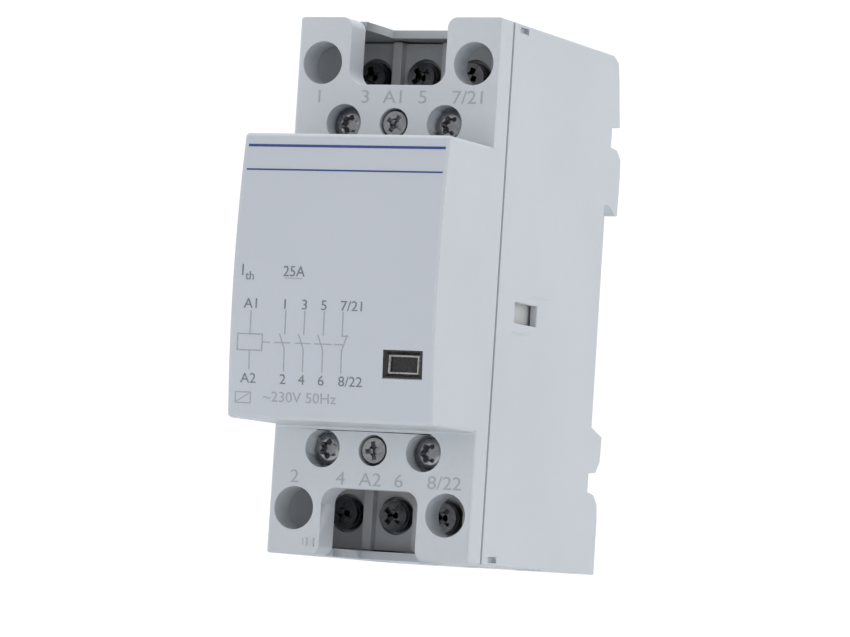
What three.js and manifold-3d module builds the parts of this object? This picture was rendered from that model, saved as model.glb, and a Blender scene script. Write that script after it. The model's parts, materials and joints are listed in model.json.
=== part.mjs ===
// Installation contactor for a 35 mm top-hat rail, two modules wide:
// three make contacts, one break contact and a coil in a two-part moulded case.
// Millimetres. +X is to the right seen from the front, +Y goes back to the rail, +Z is up.
// The origin is the middle of the flat that seats on the rail.
import * as THREE from "three";
import { mergeVertices } from "three/addons/utils/BufferGeometryUtils.js";
import Module from "manifold-3d";

const wasm = await Module();
wasm.setup();

// ---- Case ----
const WIDTH = 35.2;
const HEIGHT = 85;
const NOSE_HEIGHT = 44.4;
const NOSE_Y = -59.5; // front face of the raised middle, at its upper and lower edge
const NOSE_CROWN = 1.3; // how far that face bows out half-way up
const SHOULDER_Y = -44; // front face above and below it
const PARTING_Y = -39.2; // rear edge of the cover
const SIDE_WALL = 1.2;
const END_WALL = 1.3;
const FLOOR = 1.5;
const COVER_FRONT_WALL = 1.8;
const GAP = 0.3; // between pieces that touch
const RUNNING_GAP = 0.25; // between pieces that slide
const EDGE = 0.2; // how far a cut runs past the face it opens
const SNAP_INSET = 0.9; // middle of the snap recess, from the case's end
const SNAP_HEIGHT = 0.9;
const SNAP_DEPTH = 0.7;
const SNAP_START = 2.4; // from the parting line
const SNAP_LENGTH = 3.2;
const COVER_COLLAR = 0.9; // wall round a driver hole
const COIL_COLLAR = 0.7; // wall round a coil screw's hole

// ---- Rail foot ----
const RAIL_WIDTH = 35;
const RAIL_PLAY = 0.3;
const RAIL_STEEL = 1;
const FOOT_Y = 4.5; // rearmost plane of the lower foot
const HOOK_Y = 5.4; // rearmost plane of the upper hook
const HOOK_LIP = 1.4; // of the hook over the rail's flange
const SEAT_RELIEF = 0.4; // step in the seat, so that only its flat bears on the rail
const LATCH_WIDTH = 10;
const LATCH_THICKNESS = 2.6;
const LATCH_TRAVEL = 3;
const LATCH_BITE = 1.1; // overlap of the latch behind the rail's flange
const LATCH_PLAY = 0.15; // between the rail's flange and the latch
const LATCH_LIP = 1.6; // of the case behind each edge of the latch
const LATCH_RAMP = 1.8; // slope that lets the rail push the latch away
const LATCH_NOSE = 0.6; // flat at the latch's tip
const PEG_TOP_Z = -31.2; // the peg that the latch's spring pushes against
const PEG_HEIGHT = 2.4;
const PEG_HALF_X = 1.3;
const LATCH_WINDOW_HALF_X = 1.8;
const LATCH_WINDOW_TOP_Z = PEG_TOP_Z + 2 * LATCH_TRAVEL; // half is left for the closed spring
const LATCH_SPRING_RADIUS = 0.95;
const LATCH_SPRING_WIRE = 0.35;

// ---- Poles and terminals ----
const POLES = 4;
const BREAK_POLE = 3; // the last pole opens when the coil pulls in
const TERMINAL_INSET = 7.25; // screw axis from the case's end
const SCREW_HEAD_RADIUS = 2.65;
const SCREW_HEAD_HEIGHT = 2.4;
const SCREW_SHANK_RADIUS = 2;
const DRIVER_HOLE_RADIUS = 3.4;
const STRIP_THICKNESS = 1.2;
const BAR_Y = -16.8; // front of the bar that the wire is clamped to
const CLAMP_LENGTH = 6.6;
const CLAMP_WALL = 0.8;
const CLAMP_NUT = 1.6;
const CLAMP_FLOOR = 1.2; // of the cage, under the wire
const CLAMP_TRAVEL = 4;
const CLAMP_END_SPACE = 0.75; // between a cage and the block's inner face
const STRIP_PLAY = 0.2; // between the bar and the cage's walls
const STRIP_END = 1.2; // from the bar's end to the block's outer face
const RISER_GAP = 0.8; // between the block and the strip's riser
const WIRE_SPACE = 5.4;
const BLOCK_FRONT_WALL = 2.1;
const BLOCK_RIB = 1.6;
const BLOCK_RIB_PROUD = 1.6;
const WELL_RADIUS = 3.1;
const WELL_DEPTH = 1.2;
const SHANK_PLAY = 0.15; // round a screw's shank in its clamp
const SHANK_CLEARANCE = 0.35; // and in the block

// ---- Notches and the row of small screws ----
const NOTCH_DEPTH = 10.7;
const NOTCH_SIDE_GAP = 0.4;
const NOTCH_CORNER = 2.5;
const NOTCH_FLARE = 1.6;
const NOTCH_END_Y = -29; // how far back the case's end wall is cut away
const ROW_OFFSET = 3.5; // from the nose to the row of small screws
const COVER_SCREW_HOLE_RADIUS = 3;
const COVER_SCREW_HEAD_RADIUS = 2.6;
const COVER_SCREW_HEAD_Y = -42;
const COVER_SCREW_HEAD_HEIGHT = 1.6;
const COVER_SCREW_SHANK_RADIUS = 1.5;
const COVER_SCREW_END_Y = -24;
const COVER_SCREW_WALL = 0.8; // round a cover screw's head
const COVER_SCREW_PLAY = 0.2;
const THREAD_PLAY = 0.05; // between a cover screw and its post
const POST_HALF = 1.8;
const COIL_HOLE_RADIUS = 2.45;
const COIL_HEAD_RADIUS = 2.15;
const COIL_HEAD_Y = -43.6;
const COIL_HEAD_HEIGHT = 1.8;
const COIL_SHANK_RADIUS = 1.5;
const COIL_BAR_Y = -36.2;
const COIL_BAR_THICKNESS = 0.8;
const COIL_CLAMP_WIDTH = 4.4;
const COIL_CLAMP_LENGTH = 4.6;
const COIL_CLAMP_WALL = 0.6;
const COIL_CLAMP_NUT = 1.2;
const COIL_CLAMP_FLOOR = 0.9;
const COIL_CLAMP_TRAVEL = 2.4;
const COIL_WIRE_SPACE = 3;
const COIL_BAR_END = 1; // of the bar past its clamp
const COIL_LEG_GAP = 1.6; // between the clamp and the bar's leg
const CROSS_WIDTH = 0.32; // of a head's cross recess, as a share of its radius
const CROSS_REACH = 0.62;
const CROSS_DEPTH = 0.55; // as a share of the head's height

// ---- Contacts ----
const STROKE = 4; // travel of the moving contact carrier
const OVERTRAVEL = 1; // part of it that only presses the contact springs
const CONTACT_GAP = 0.1; // left between closed contacts
const CONTACT_LEVEL_Y = -34.2; // front of the fixed contacts' inner arms
const TIP_RADIUS = 1.6;
const TIP_HEIGHT = 0.8;
const TIP_Z = 6.8;
const ARM_END_Z = 5;
const BRIDGE_END = 0.3; // of the bridge past its tip
const BRIDGE_THICKNESS = 1.2;
const BRIDGE_WIDTH = 3.6;
const CONTACT_SPRING_RADIUS = 1.35;
const CONTACT_SPRING_WIRE = 0.4;
const CONTACT_SPRING_SPACE = 5.4;
const SPRING_SEAT = 0.2; // between a contact spring and its bridge

// ---- Carrier, magnet and coil ----
const CARRIER_HALF_Z = 4.4;
const CARRIER_SIDE_GAP = 0.5;
const CARRIER_REAR_Y = -22.8;
const CARRIER_FRONT_WALL = 1.1;
const CARRIER_REAR_WALL = 0.8;
const STEM_HALF = 2; // of the square stem behind the indicator
const STEM_FOOT_HALF = 3;
const STEM_FOOT_HEIGHT = 1.5;
const LEG_SLOT_HALF = 1; // of the slot that clears a coil terminal's leg
const YOKE_THICKNESS = 2.2;
const YOKE_HALF_X = 6.6;
const STACK_WIDTH = 15; // of the laminated magnet
const CORE_HALF_Z = 19;
const CORE_REAR_Y = -1.8;
const CORE_YOKE = 4.7;
const POLE_FACE_Y = -17.4;
const CENTRE_LEG_HALF = 4;
const OUTER_LEG = 4.8;
const MAGNET_GAP = 0.1; // left when the magnet is closed
const ARMATURE_THICKNESS = 4.6;
const RING_WALL = 0.6;
const RING_DEPTH = 1.4;
const RING_INSET = 0.2; // of the ring below the pole face, and round the leg
const RING_PLAY = 0.15;
const BOBBIN_WALL = 0.8;
const BOBBIN_HALF_X = 14;
const BOBBIN_INSET = 0.3; // below the pole faces
const WINDING_INSET = 0.8;
const WINDING_GAP = 0.1;
const WINDING_CORNER = 3;
const RETURN_SPRING_RADIUS = 2.4;
const RETURN_SPRING_WIRE = 0.5;
const RETURN_SPRING_Z = 24.4;
const RETURN_SPRING_SEAT_Y = -13;
const RETURN_SPRING_END = 2.2; // of the yoke and the seat past the spring's axis
const SPRING_PLAY = 0.1; // at each end of a spring
const LEAD_RADIUS = 0.3;

// ---- Indicator, label and side window ----
const WINDOW_X = 12.2;
const WINDOW_Z = -13.05;
const WINDOW_WIDTH = 6.4;
const WINDOW_HEIGHT = 4.1;
const WINDOW_CHAMFER = 0.7;
const WINDOW_CHAMFER_DEPTH = 0.9;
const FLAG_WIDTH = 4.6;
const FLAG_HEIGHT = 2.7;
const FLAG_LENGTH = 4.6;
const FLAG_REACH = 0.1; // of the flag into the window's chamfer
const CROWN_STEPS = 16; // flats that make the bowed front
const LABEL_MARGIN = 0.6;
const LABEL_RECESS = 0.2;
const LABEL_PLAY = 0.1;
const LABEL_WINDOW = 0.15; // of the label's cut-out round the window
const LABEL_LIFT = 0.02; // left under the sheet
const SIDE_WINDOW_FRONT_Y = -32.6;
const SIDE_WINDOW_REAR_Y = -24;
const SIDE_WINDOW_TOP_Z = -0.9;
const SIDE_WINDOW_BOTTOM_Z = -4.2;

// ---- Places worked out from the sizes above ----
const halfWidth = WIDTH / 2;
const halfHeight = HEIGHT / 2;
const noseZ = NOSE_HEIGHT / 2;
const bay = WIDTH / POLES;
const poleX = (pole) => (pole - (POLES - 1) / 2) * bay;
const isBreak = (pole) => pole === BREAK_POLE;
const innerX = halfWidth - SIDE_WALL;
const innerZ = halfHeight - END_WALL;
const floorY = -FLOOR;
const baseFrontY = PARTING_Y + GAP;
const terminalZ = halfHeight - TERMINAL_INSET;
const rowZ = noseZ + ROW_OFFSET;
const notchHalf = bay - NOTCH_SIDE_GAP;
const notchInnerZ = halfHeight - NOTCH_DEPTH;
const clampWidth = bay - 2 * (SIDE_WALL + GAP);
const stripWidth = clampWidth - 2 * (CLAMP_WALL + STRIP_PLAY);
const barRearY = BAR_Y + STRIP_THICKNESS;
const clampFrontY = BAR_Y - RUNNING_GAP - CLAMP_NUT;
const clampRearY = barRearY + WIRE_SPACE + CLAMP_FLOOR;
const blockWallRearY = clampFrontY - CLAMP_TRAVEL - RUNNING_GAP;
const blockFrontY = blockWallRearY - BLOCK_FRONT_WALL;
const blockRearY = clampRearY + GAP;
const headSeatY = blockFrontY + WELL_DEPTH;
const screwHeadY = headSeatY - GAP - SCREW_HEAD_HEIGHT;
const blockInnerZ = terminalZ - CLAMP_LENGTH / 2 - CLAMP_END_SPACE;
const blockOuterZ = innerZ - GAP;
const riserZ = blockInnerZ - RISER_GAP; // outer face of the strip's riser
const coilClampFrontY = COIL_BAR_Y - RUNNING_GAP - COIL_CLAMP_NUT;
const coilCollarRearY = coilClampFrontY - COIL_CLAMP_TRAVEL - RUNNING_GAP;
const coilLegZ = rowZ - COIL_CLAMP_LENGTH / 2 - COIL_LEG_GAP;
const carrierHalfX = innerX - CARRIER_SIDE_GAP;
const contactLevelRearY = CONTACT_LEVEL_Y + STRIP_THICKNESS;
const contactTravel = STROKE - OVERTRAVEL;
const armatureRearY = POLE_FACE_Y - MAGNET_GAP - STROKE;
const armatureFrontY = armatureRearY - ARMATURE_THICKNESS;
const yokeRearY = armatureFrontY - GAP;
const yokeFrontY = yokeRearY - YOKE_THICKNESS;
const makeBridgeRearY = CONTACT_LEVEL_Y - 2 * TIP_HEIGHT - CONTACT_GAP - contactTravel;
const makeBridgeFrontY = makeBridgeRearY - BRIDGE_THICKNESS;
const makeSpringFrontY = makeBridgeFrontY - GAP - CONTACT_SPRING_SPACE;
const carrierFrontY = makeSpringFrontY - GAP - CARRIER_FRONT_WALL;
const breakBridgeFrontY = contactLevelRearY + 2 * TIP_HEIGHT + CONTACT_GAP;
const breakBridgeRearY = breakBridgeFrontY + BRIDGE_THICKNESS;
const latchFrontY = RAIL_STEEL + LATCH_PLAY;
const latchNoseZ = -(RAIL_WIDTH / 2 - LATCH_BITE);
const slotTopZ = RAIL_WIDTH / 2 + RAIL_PLAY;
const slotBottomZ = -(RAIL_WIDTH / 2 + LATCH_BITE);
const windowFrontY = NOSE_Y - crown(WINDOW_Z);
const indicatorFrontY = windowFrontY + LABEL_RECESS + WINDOW_CHAMFER_DEPTH - FLAG_REACH;
const ringInnerZ = CORE_HALF_Z - OUTER_LEG / 2;
const ringFrontY = POLE_FACE_Y + RING_INSET;
const bobbinFrontY = POLE_FACE_Y + BOBBIN_INSET;
const bobbinRearY = CORE_REAR_Y - CORE_YOKE - GAP;
const bobbinInnerX = STACK_WIDTH / 2 + GAP;
const bobbinInnerZ = CENTRE_LEG_HALF + GAP;
const bobbinHalfZ = CORE_HALF_Z - OUTER_LEG - GAP;

// ---- Solids ----
// The directions that an outline's two axes and its depth take, for each way it is pushed.
const AXES = {
  x: [new THREE.Vector3(0, 1, 0), new THREE.Vector3(0, 0, 1), new THREE.Vector3(1, 0, 0)],
  y: [new THREE.Vector3(1, 0, 0), new THREE.Vector3(0, 0, 1), new THREE.Vector3(0, -1, 0)],
};

// A closed three.js geometry as a solid for joining and cutting.
function solid(geometry) {
  const bare = new THREE.BufferGeometry();
  bare.setAttribute("position", geometry.getAttribute("position"));
  if (geometry.index) bare.setIndex(geometry.index);
  const merged = mergeVertices(bare, 1e-4);
  return new wasm.Manifold(
    new wasm.Mesh({
      numProp: 3,
      vertProperties: new Float32Array(merged.attributes.position.array),
      triVerts: new Uint32Array(merged.index.array),
    }),
  );
}

function box(x0, x1, y0, y1, z0, z1) {
  const geometry = new THREE.BoxGeometry(x1 - x0, y1 - y0, z1 - z0);
  geometry.translate((x0 + x1) / 2, (y0 + y1) / 2, (z0 + z1) / 2);
  return solid(geometry);
}

// A cylinder along Y from y0 back to y1.
function rod(radius, y0, y1, x, z, sides = 24) {
  const geometry = new THREE.CylinderGeometry(radius, radius, y1 - y0, sides);
  return solid(geometry.translate(x, (y0 + y1) / 2, z));
}

// A flat outline pushed along X or Y, from `from` to `to`. It is in (Y, Z) along X and in (X, Z)
// along Y.
function extrude(axis, outline, from, to) {
  const shape = outline instanceof THREE.Shape ? outline : polygon(outline);
  const geometry = new THREE.ExtrudeGeometry(shape, {
    depth: to - from,
    bevelEnabled: false,
    curveSegments: 6,
  });
  geometry.applyMatrix4(new THREE.Matrix4().makeBasis(...AXES[axis]));
  return solid(axis === "x" ? geometry.translate(from, 0, 0) : geometry.translate(0, to, 0));
}

function polygon(points) {
  return new THREE.Shape(points.map(([u, v]) => new THREE.Vector2(u, v)));
}

// A block between two rectangles that face Y, each [x0, x1, z0, z1].
function taper(front, rear, y0, y1) {
  const geometry = new THREE.BoxGeometry(1, 1, 1);
  const position = geometry.getAttribute("position");
  for (let i = 0; i < position.count; i++) {
    const side = position.getY(i) < 0 ? front : rear;
    const x = position.getX(i) < 0 ? side[0] : side[1];
    const z = position.getZ(i) < 0 ? side[2] : side[3];
    position.setXYZ(i, x, position.getY(i) < 0 ? y0 : y1, z);
  }
  return solid(geometry);
}

const join = (...solids) => solids.reduce((a, b) => a.add(b));
const cut = (from, ...tools) => tools.reduce((a, b) => a.subtract(b), from);

// A coil of round wire along Y or Z.
class Helix extends THREE.Curve {
  constructor(axis, centre, radius, from, to, turns) {
    super();
    Object.assign(this, { axis, centre, radius, from, to, turns });
  }
  getPoint(t, target = new THREE.Vector3()) {
    const angle = 2 * Math.PI * this.turns * t;
    const a = this.centre[0] + this.radius * Math.cos(angle);
    const b = this.centre[1] + this.radius * Math.sin(angle);
    const along = this.from + (this.to - this.from) * t;
    return this.axis === "y" ? target.set(a, along, b) : target.set(a, b, along);
  }
}

function sweep(curve, radius, sides, steps) {
  const ring = [];
  for (let i = 0; i < sides; i++) {
    const angle = (2 * Math.PI * i) / sides;
    ring.push([radius * Math.cos(angle), radius * Math.sin(angle)]);
  }
  const options = { steps, bevelEnabled: false, extrudePath: curve };
  return solid(new THREE.ExtrudeGeometry(polygon(ring), options));
}

// A compression spring whose ends stay `wire` inside the two seats.
function spring(axis, centre, radius, wire, from, to, turns) {
  const half = wire / 2;
  const path = new Helix(axis, centre, radius, from + half, to - half, turns);
  return sweep(path, half, 5, Math.round(turns * 8));
}

// ---- Finishes ----
const FINISHES = {
  housing: { color: 0xc9cfd3, roughness: 0.45, metalness: 0 },
  label: { color: 0xbfc6cc, roughness: 0.4, metalness: 0 },
  block: { color: 0x8f949b, roughness: 0.6, metalness: 0 },
  black: { color: 0x111216, roughness: 0.35, metalness: 0 },
  carrier: { color: 0xc4c6c4, roughness: 0.5, metalness: 0 },
  latch: { color: 0x2b2d30, roughness: 0.5, metalness: 0 },
  bobbin: { color: 0xe6e2d6, roughness: 0.55, metalness: 0 },
  steel: { color: 0xb4b6b8, roughness: 0.35, metalness: 1 },
  laminate: { color: 0x74777a, roughness: 0.5, metalness: 1 },
  copper: { color: 0xb4693c, roughness: 0.4, metalness: 1 },
  brass: { color: 0xc9a85a, roughness: 0.35, metalness: 1 },
};

const contactor = new THREE.Group();

function place(name, shape, finish) {
  const mesh = shape.getMesh();
  const geometry = new THREE.BufferGeometry();
  geometry.setAttribute("position", new THREE.BufferAttribute(mesh.vertProperties, 3));
  geometry.setIndex(new THREE.BufferAttribute(mesh.triVerts, 1));
  const piece = new THREE.Mesh(geometry, new THREE.MeshStandardMaterial(FINISHES[finish]));
  piece.name = name;
  contactor.add(piece);
}

// ---- Case base ----
// The rear outline carries the fixed hook above the rail slot and the foot below it.
function railOutline() {
  return [
    [baseFrontY, -halfHeight],
    [FOOT_Y, -halfHeight],
    [FOOT_Y, -halfHeight + 8.9],
    [FOOT_Y - 0.4, -halfHeight + 11.5],
    [FOOT_Y - 1.9, -halfHeight + 13],
    [0.1, -halfHeight + 13.4],
    [0.1, -halfHeight + 16.4],
    [FOOT_Y - 1.7, -halfHeight + 16.6],
    [FOOT_Y - 0.2, -halfHeight + 18.4],
    [FOOT_Y, slotBottomZ - 1.3],
    [0, slotBottomZ],
    [0, slotTopZ - HOOK_LIP - GAP],
    [-SEAT_RELIEF, slotTopZ - HOOK_LIP - GAP],
    [-SEAT_RELIEF, slotTopZ],
    [RAIL_STEEL + 0.2, slotTopZ],
    [HOOK_Y - 2.4, slotTopZ - 0.6],
    [HOOK_Y - 1.3, slotTopZ - HOOK_LIP],
    [HOOK_Y - 0.2, slotTopZ - HOOK_LIP + 0.2],
    [HOOK_Y, slotTopZ + 5.2],
    [HOOK_Y - 0.2, slotTopZ + 8.2],
    [HOOK_Y - 1.8, slotTopZ + 9.5],
    [1.1, slotTopZ + 9.7],
    [1.1, slotTopZ + 13],
    [HOOK_Y - 1.2, slotTopZ + 13.2],
    [HOOK_Y - 2.6, halfHeight - 3.3],
    [HOOK_Y - 3.2, halfHeight - 0.9],
    [HOOK_Y - 5.2, halfHeight],
    [baseFrontY, halfHeight],
  ];
}

function baseHousing() {
  let base = extrude("x", railOutline(), -halfWidth, halfWidth);
  base = cut(base, box(-innerX, innerX, baseFrontY - EDGE, floorY, -innerZ, innerZ));
  for (const end of [-1, 1]) {
    const span = (a, b) => [Math.min(end * a, end * b), Math.max(end * a, end * b)];
    for (const x of [-bay, bay]) base = base.add(coverPost(x, end * rowZ));
    const springZ = end * RETURN_SPRING_Z;
    const seatRadius = RETURN_SPRING_RADIUS + 0.6;
    base = base.add(rod(seatRadius, RETURN_SPRING_SEAT_Y, floorY + EDGE, 0, springZ, 16));
    for (let rib = 1; rib < POLES; rib++) {
      const x = poleX(rib) - bay / 2;
      const [z0, z1] = span(blockInnerZ, innerZ + EDGE);
      const ribFrontY = blockRearY + GAP;
      base = base.add(box(x - BLOCK_RIB / 2, x + BLOCK_RIB / 2, ribFrontY, floorY + EDGE, z0, z1));
    }
    for (let pole = 0; pole < POLES; pole++) {
      const half = clampWidth / 2 - RUNNING_GAP;
      const [z0, z1] = span(innerZ - EDGE, halfHeight + EDGE);
      const wireRearY = barRearY + WIRE_SPACE + EDGE;
      const x = poleX(pole);
      base = base.subtract(box(x - half, x + half, barRearY - EDGE, wireRearY, z0, z1));
    }
    const [z0, z1] = span(innerZ - EDGE, halfHeight + EDGE);
    base = base.subtract(
      box(-notchHalf, notchHalf, baseFrontY - EDGE, NOTCH_END_Y, z0, z1),
    );
    for (const side of [-1, 1]) base = base.subtract(snapRecess(side, end));
  }
  const sideWindow = box(
    innerX - EDGE,
    halfWidth + EDGE,
    SIDE_WINDOW_FRONT_Y,
    SIDE_WINDOW_REAR_Y,
    SIDE_WINDOW_BOTTOM_Z,
    SIDE_WINDOW_TOP_Z,
  );
  return cut(base, sideWindow, latchChannel()).add(latchPeg());
}

// A post that a cover screw bites into.
function coverPost(x, z) {
  const post = box(
    x - POST_HALF,
    x + POST_HALF,
    baseFrontY,
    floorY + EDGE,
    z - POST_HALF,
    z + POST_HALF,
  );
  const bore = COVER_SCREW_SHANK_RADIUS + THREAD_PLAY;
  return cut(post, rod(bore, baseFrontY - EDGE, COVER_SCREW_END_Y + 1, x, z, 16));
}

// The shallow recess behind the parting line that the cover's snap tongue rests in.
function snapRecess(side, end) {
  const z = end * (halfHeight - SNAP_INSET);
  const inner = halfWidth - SNAP_DEPTH;
  const outer = halfWidth + EDGE;
  return box(
    Math.min(side * inner, side * outer),
    Math.max(side * inner, side * outer),
    PARTING_Y + SNAP_START,
    PARTING_Y + SNAP_START + SNAP_LENGTH,
    z - SNAP_HEIGHT / 2,
    z + SNAP_HEIGHT / 2,
  );
}

function latchChannel() {
  const half = LATCH_WIDTH / 2 + RUNNING_GAP;
  const lip = half - LATCH_LIP;
  const rearY = latchFrontY + LATCH_THICKNESS + RUNNING_GAP;
  const bottomZ = -halfHeight - EDGE;
  const topZ = slotBottomZ + 2;
  return join(
    box(-half, half, latchFrontY - RUNNING_GAP, rearY, bottomZ, topZ),
    box(-lip, lip, rearY - EDGE, FOOT_Y + EDGE, bottomZ, topZ),
  );
}

// The peg inside the latch's window that its spring pushes against.
function latchPeg() {
  const rearY = latchFrontY + LATCH_THICKNESS - 0.2;
  return box(
    -PEG_HALF_X,
    PEG_HALF_X,
    latchFrontY - RUNNING_GAP - EDGE,
    rearY,
    PEG_TOP_Z - PEG_HEIGHT,
    PEG_TOP_Z,
  );
}

function dinLatch() {
  const half = LATCH_WIDTH / 2;
  const rearY = latchFrontY + LATCH_THICKNESS;
  const bottomZ = -halfHeight + 0.4;
  const nose = [
    [latchFrontY, bottomZ],
    [rearY, bottomZ],
    [rearY, latchNoseZ - LATCH_RAMP],
    [latchFrontY + LATCH_NOSE, latchNoseZ],
    [latchFrontY, latchNoseZ],
  ];
  return cut(
    extrude("x", nose, -half, half),
    box(
      -LATCH_WINDOW_HALF_X,
      LATCH_WINDOW_HALF_X,
      latchFrontY - EDGE,
      rearY + EDGE,
      PEG_TOP_Z - PEG_HEIGHT - GAP,
      LATCH_WINDOW_TOP_Z,
    ),
    box(-3, 3, latchFrontY + 0.8, rearY + EDGE, bottomZ + 1.2, bottomZ + 2.6),
  );
}

function latchSpring() {
  const centre = [0, latchFrontY + LATCH_THICKNESS / 2];
  const from = PEG_TOP_Z + SPRING_PLAY;
  const to = LATCH_WINDOW_TOP_Z - SPRING_PLAY;
  return spring("z", centre, LATCH_SPRING_RADIUS, LATCH_SPRING_WIRE, from, to, 6);
}

// ---- Front cover ----
// The notch that lets a driver and a wire in at each end, drawn for the upper end.
function notchShape(grow, mouthZ) {
  const half = notchHalf + grow;
  const innerEnd = notchInnerZ - grow;
  const corner = NOTCH_CORNER + grow;
  const flare = NOTCH_FLARE;
  const shape = new THREE.Shape();
  shape.moveTo(-half - flare, mouthZ);
  shape.lineTo(-half - flare, halfHeight);
  shape.absarc(-half - flare, halfHeight - flare, flare, Math.PI / 2, 0, true);
  shape.lineTo(-half, innerEnd + corner);
  shape.absarc(-half + corner, innerEnd + corner, corner, Math.PI, 1.5 * Math.PI, false);
  shape.lineTo(half - corner, innerEnd);
  shape.absarc(half - corner, innerEnd + corner, corner, 1.5 * Math.PI, 2 * Math.PI, false);
  shape.lineTo(half, halfHeight - flare);
  shape.absarc(half + flare, halfHeight - flare, flare, Math.PI, Math.PI / 2, true);
  shape.lineTo(half + flare, mouthZ);
  return shape;
}

function frontCover() {
  const cavityX = halfWidth - SIDE_WALL;
  const shoulderBackY = SHOULDER_Y + COVER_FRONT_WALL;
  const rearY = PARTING_Y + EDGE;
  const body = join(
    box(-halfWidth, halfWidth, SHOULDER_Y, PARTING_Y, -halfHeight, halfHeight),
    bowed(halfWidth, noseZ, NOSE_Y, SHOULDER_Y + EDGE),
  );
  const noseCavityZ = noseZ - COVER_FRONT_WALL;
  const noseBackY = NOSE_Y + COVER_FRONT_WALL + LABEL_RECESS;
  let cover = cut(
    body,
    box(-cavityX, cavityX, shoulderBackY, rearY, -innerZ, innerZ),
    bowed(cavityX, noseCavityZ, noseBackY, rearY),
  );
  const holes = [];
  for (const end of [-1, 1]) {
    for (const x of [poleX(0), poleX(POLES - 1)]) {
      const z = end * terminalZ;
      const wall = DRIVER_HOLE_RADIUS + COVER_COLLAR;
      cover = cover.add(rod(wall, SHOULDER_Y + EDGE, PARTING_Y, x, z, 20));
      holes.push(rod(DRIVER_HOLE_RADIUS, SHOULDER_Y - EDGE, rearY, x, z, 32));
    }
    for (const x of [-bay, bay]) {
      const z = end * rowZ;
      const seatY = COVER_SCREW_HEAD_Y + COVER_SCREW_HEAD_HEIGHT + COVER_SCREW_PLAY;
      const wall = COVER_SCREW_HOLE_RADIUS + COVER_SCREW_WALL;
      const bore = COVER_SCREW_SHANK_RADIUS + COVER_SCREW_PLAY;
      cover = cover.add(rod(wall, SHOULDER_Y + EDGE, PARTING_Y, x, z, 16));
      holes.push(rod(COVER_SCREW_HOLE_RADIUS, SHOULDER_Y - EDGE, seatY, x, z, 28));
      holes.push(rod(bore, seatY - EDGE, rearY, x, z, 12));
    }
    const collar = COIL_HOLE_RADIUS + COIL_COLLAR;
    cover = cover.add(rod(collar, SHOULDER_Y + EDGE, coilCollarRearY, 0, end * rowZ, 16));
    holes.push(rod(COIL_HOLE_RADIUS, SHOULDER_Y - EDGE, rearY, 0, end * rowZ, 24));
    cover = cover.add(turned(notchRim(), end));
    holes.push(turned(extrude("y", notchShape(0, halfHeight + EDGE), SHOULDER_Y - EDGE, rearY), end));
  }
  const insideCase = box(
    -halfWidth,
    halfWidth,
    NOSE_Y - NOSE_CROWN,
    PARTING_Y,
    -halfHeight,
    halfHeight,
  );
  return cut(cover.intersect(insideCase), ...holes, labelRecess(), indicatorWindow());
}

// The wall round the notch, as deep as the cover.
function notchRim() {
  const rim = extrude("y", notchShape(SIDE_WALL, halfHeight), SHOULDER_Y + EDGE, PARTING_Y);
  return rim.intersect(
    box(-halfWidth, halfWidth, SHOULDER_Y, PARTING_Y, noseZ, halfHeight),
  );
}

// A piece drawn for the upper end, mirrored for the lower one.
function turned(shape, end) {
  return end > 0 ? shape : shape.mirror([0, 0, 1]);
}

// How far the bowed front stands out at a height.
function crown(z) {
  return NOSE_CROWN * (1 - (z / noseZ) ** 2);
}

// A block with the bowed front: flat from side to side and an arc from bottom to top.
function bowed(halfX, halfZ, frontY, rearY) {
  const front = [];
  for (let i = 0; i <= CROWN_STEPS; i++) {
    const z = halfZ * ((2 * i) / CROWN_STEPS - 1);
    front.push([frontY - crown(z), z]);
  }
  return extrude("x", [...front, [rearY, halfZ], [rearY, -halfZ]], -halfX, halfX);
}

function labelRecess() {
  const x = halfWidth - LABEL_MARGIN;
  const z = noseZ - LABEL_MARGIN;
  const floorY = NOSE_Y + LABEL_RECESS;
  const open = box(-x, x, NOSE_Y - NOSE_CROWN - EDGE, floorY, -z, z);
  return cut(open, bowed(halfWidth, noseZ, floorY, floorY + COVER_FRONT_WALL));
}

function windowRect(shrink) {
  const halfX = WINDOW_WIDTH / 2 - shrink;
  const halfZ = WINDOW_HEIGHT / 2 - shrink;
  return [WINDOW_X - halfX, WINDOW_X + halfX, WINDOW_Z - halfZ, WINDOW_Z + halfZ];
}

function indicatorWindow() {
  const inner = windowRect(WINDOW_CHAMFER);
  const chamferY = windowFrontY + LABEL_RECESS + WINDOW_CHAMFER_DEPTH;
  const outer = windowRect(0);
  return join(
    taper(outer, outer, NOSE_Y - NOSE_CROWN - EDGE, windowFrontY),
    taper(outer, inner, windowFrontY - EDGE, chamferY),
    taper(inner, inner, chamferY - EDGE, NOSE_Y + COVER_FRONT_WALL + 1),
  );
}

function frontLabel() {
  const x = halfWidth - LABEL_MARGIN - LABEL_PLAY;
  const z = noseZ - LABEL_MARGIN - LABEL_PLAY;
  const [x0, x1, z0, z1] = windowRect(-LABEL_WINDOW);
  const backY = NOSE_Y + LABEL_RECESS - LABEL_LIFT;
  const sheet = cut(
    bowed(x, z, NOSE_Y, backY),
    bowed(halfWidth, noseZ, backY, backY + COVER_FRONT_WALL),
  );
  return cut(sheet, box(x0, x1, NOSE_Y - NOSE_CROWN - EDGE, NOSE_Y + LABEL_RECESS, z0, z1));
}

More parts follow.
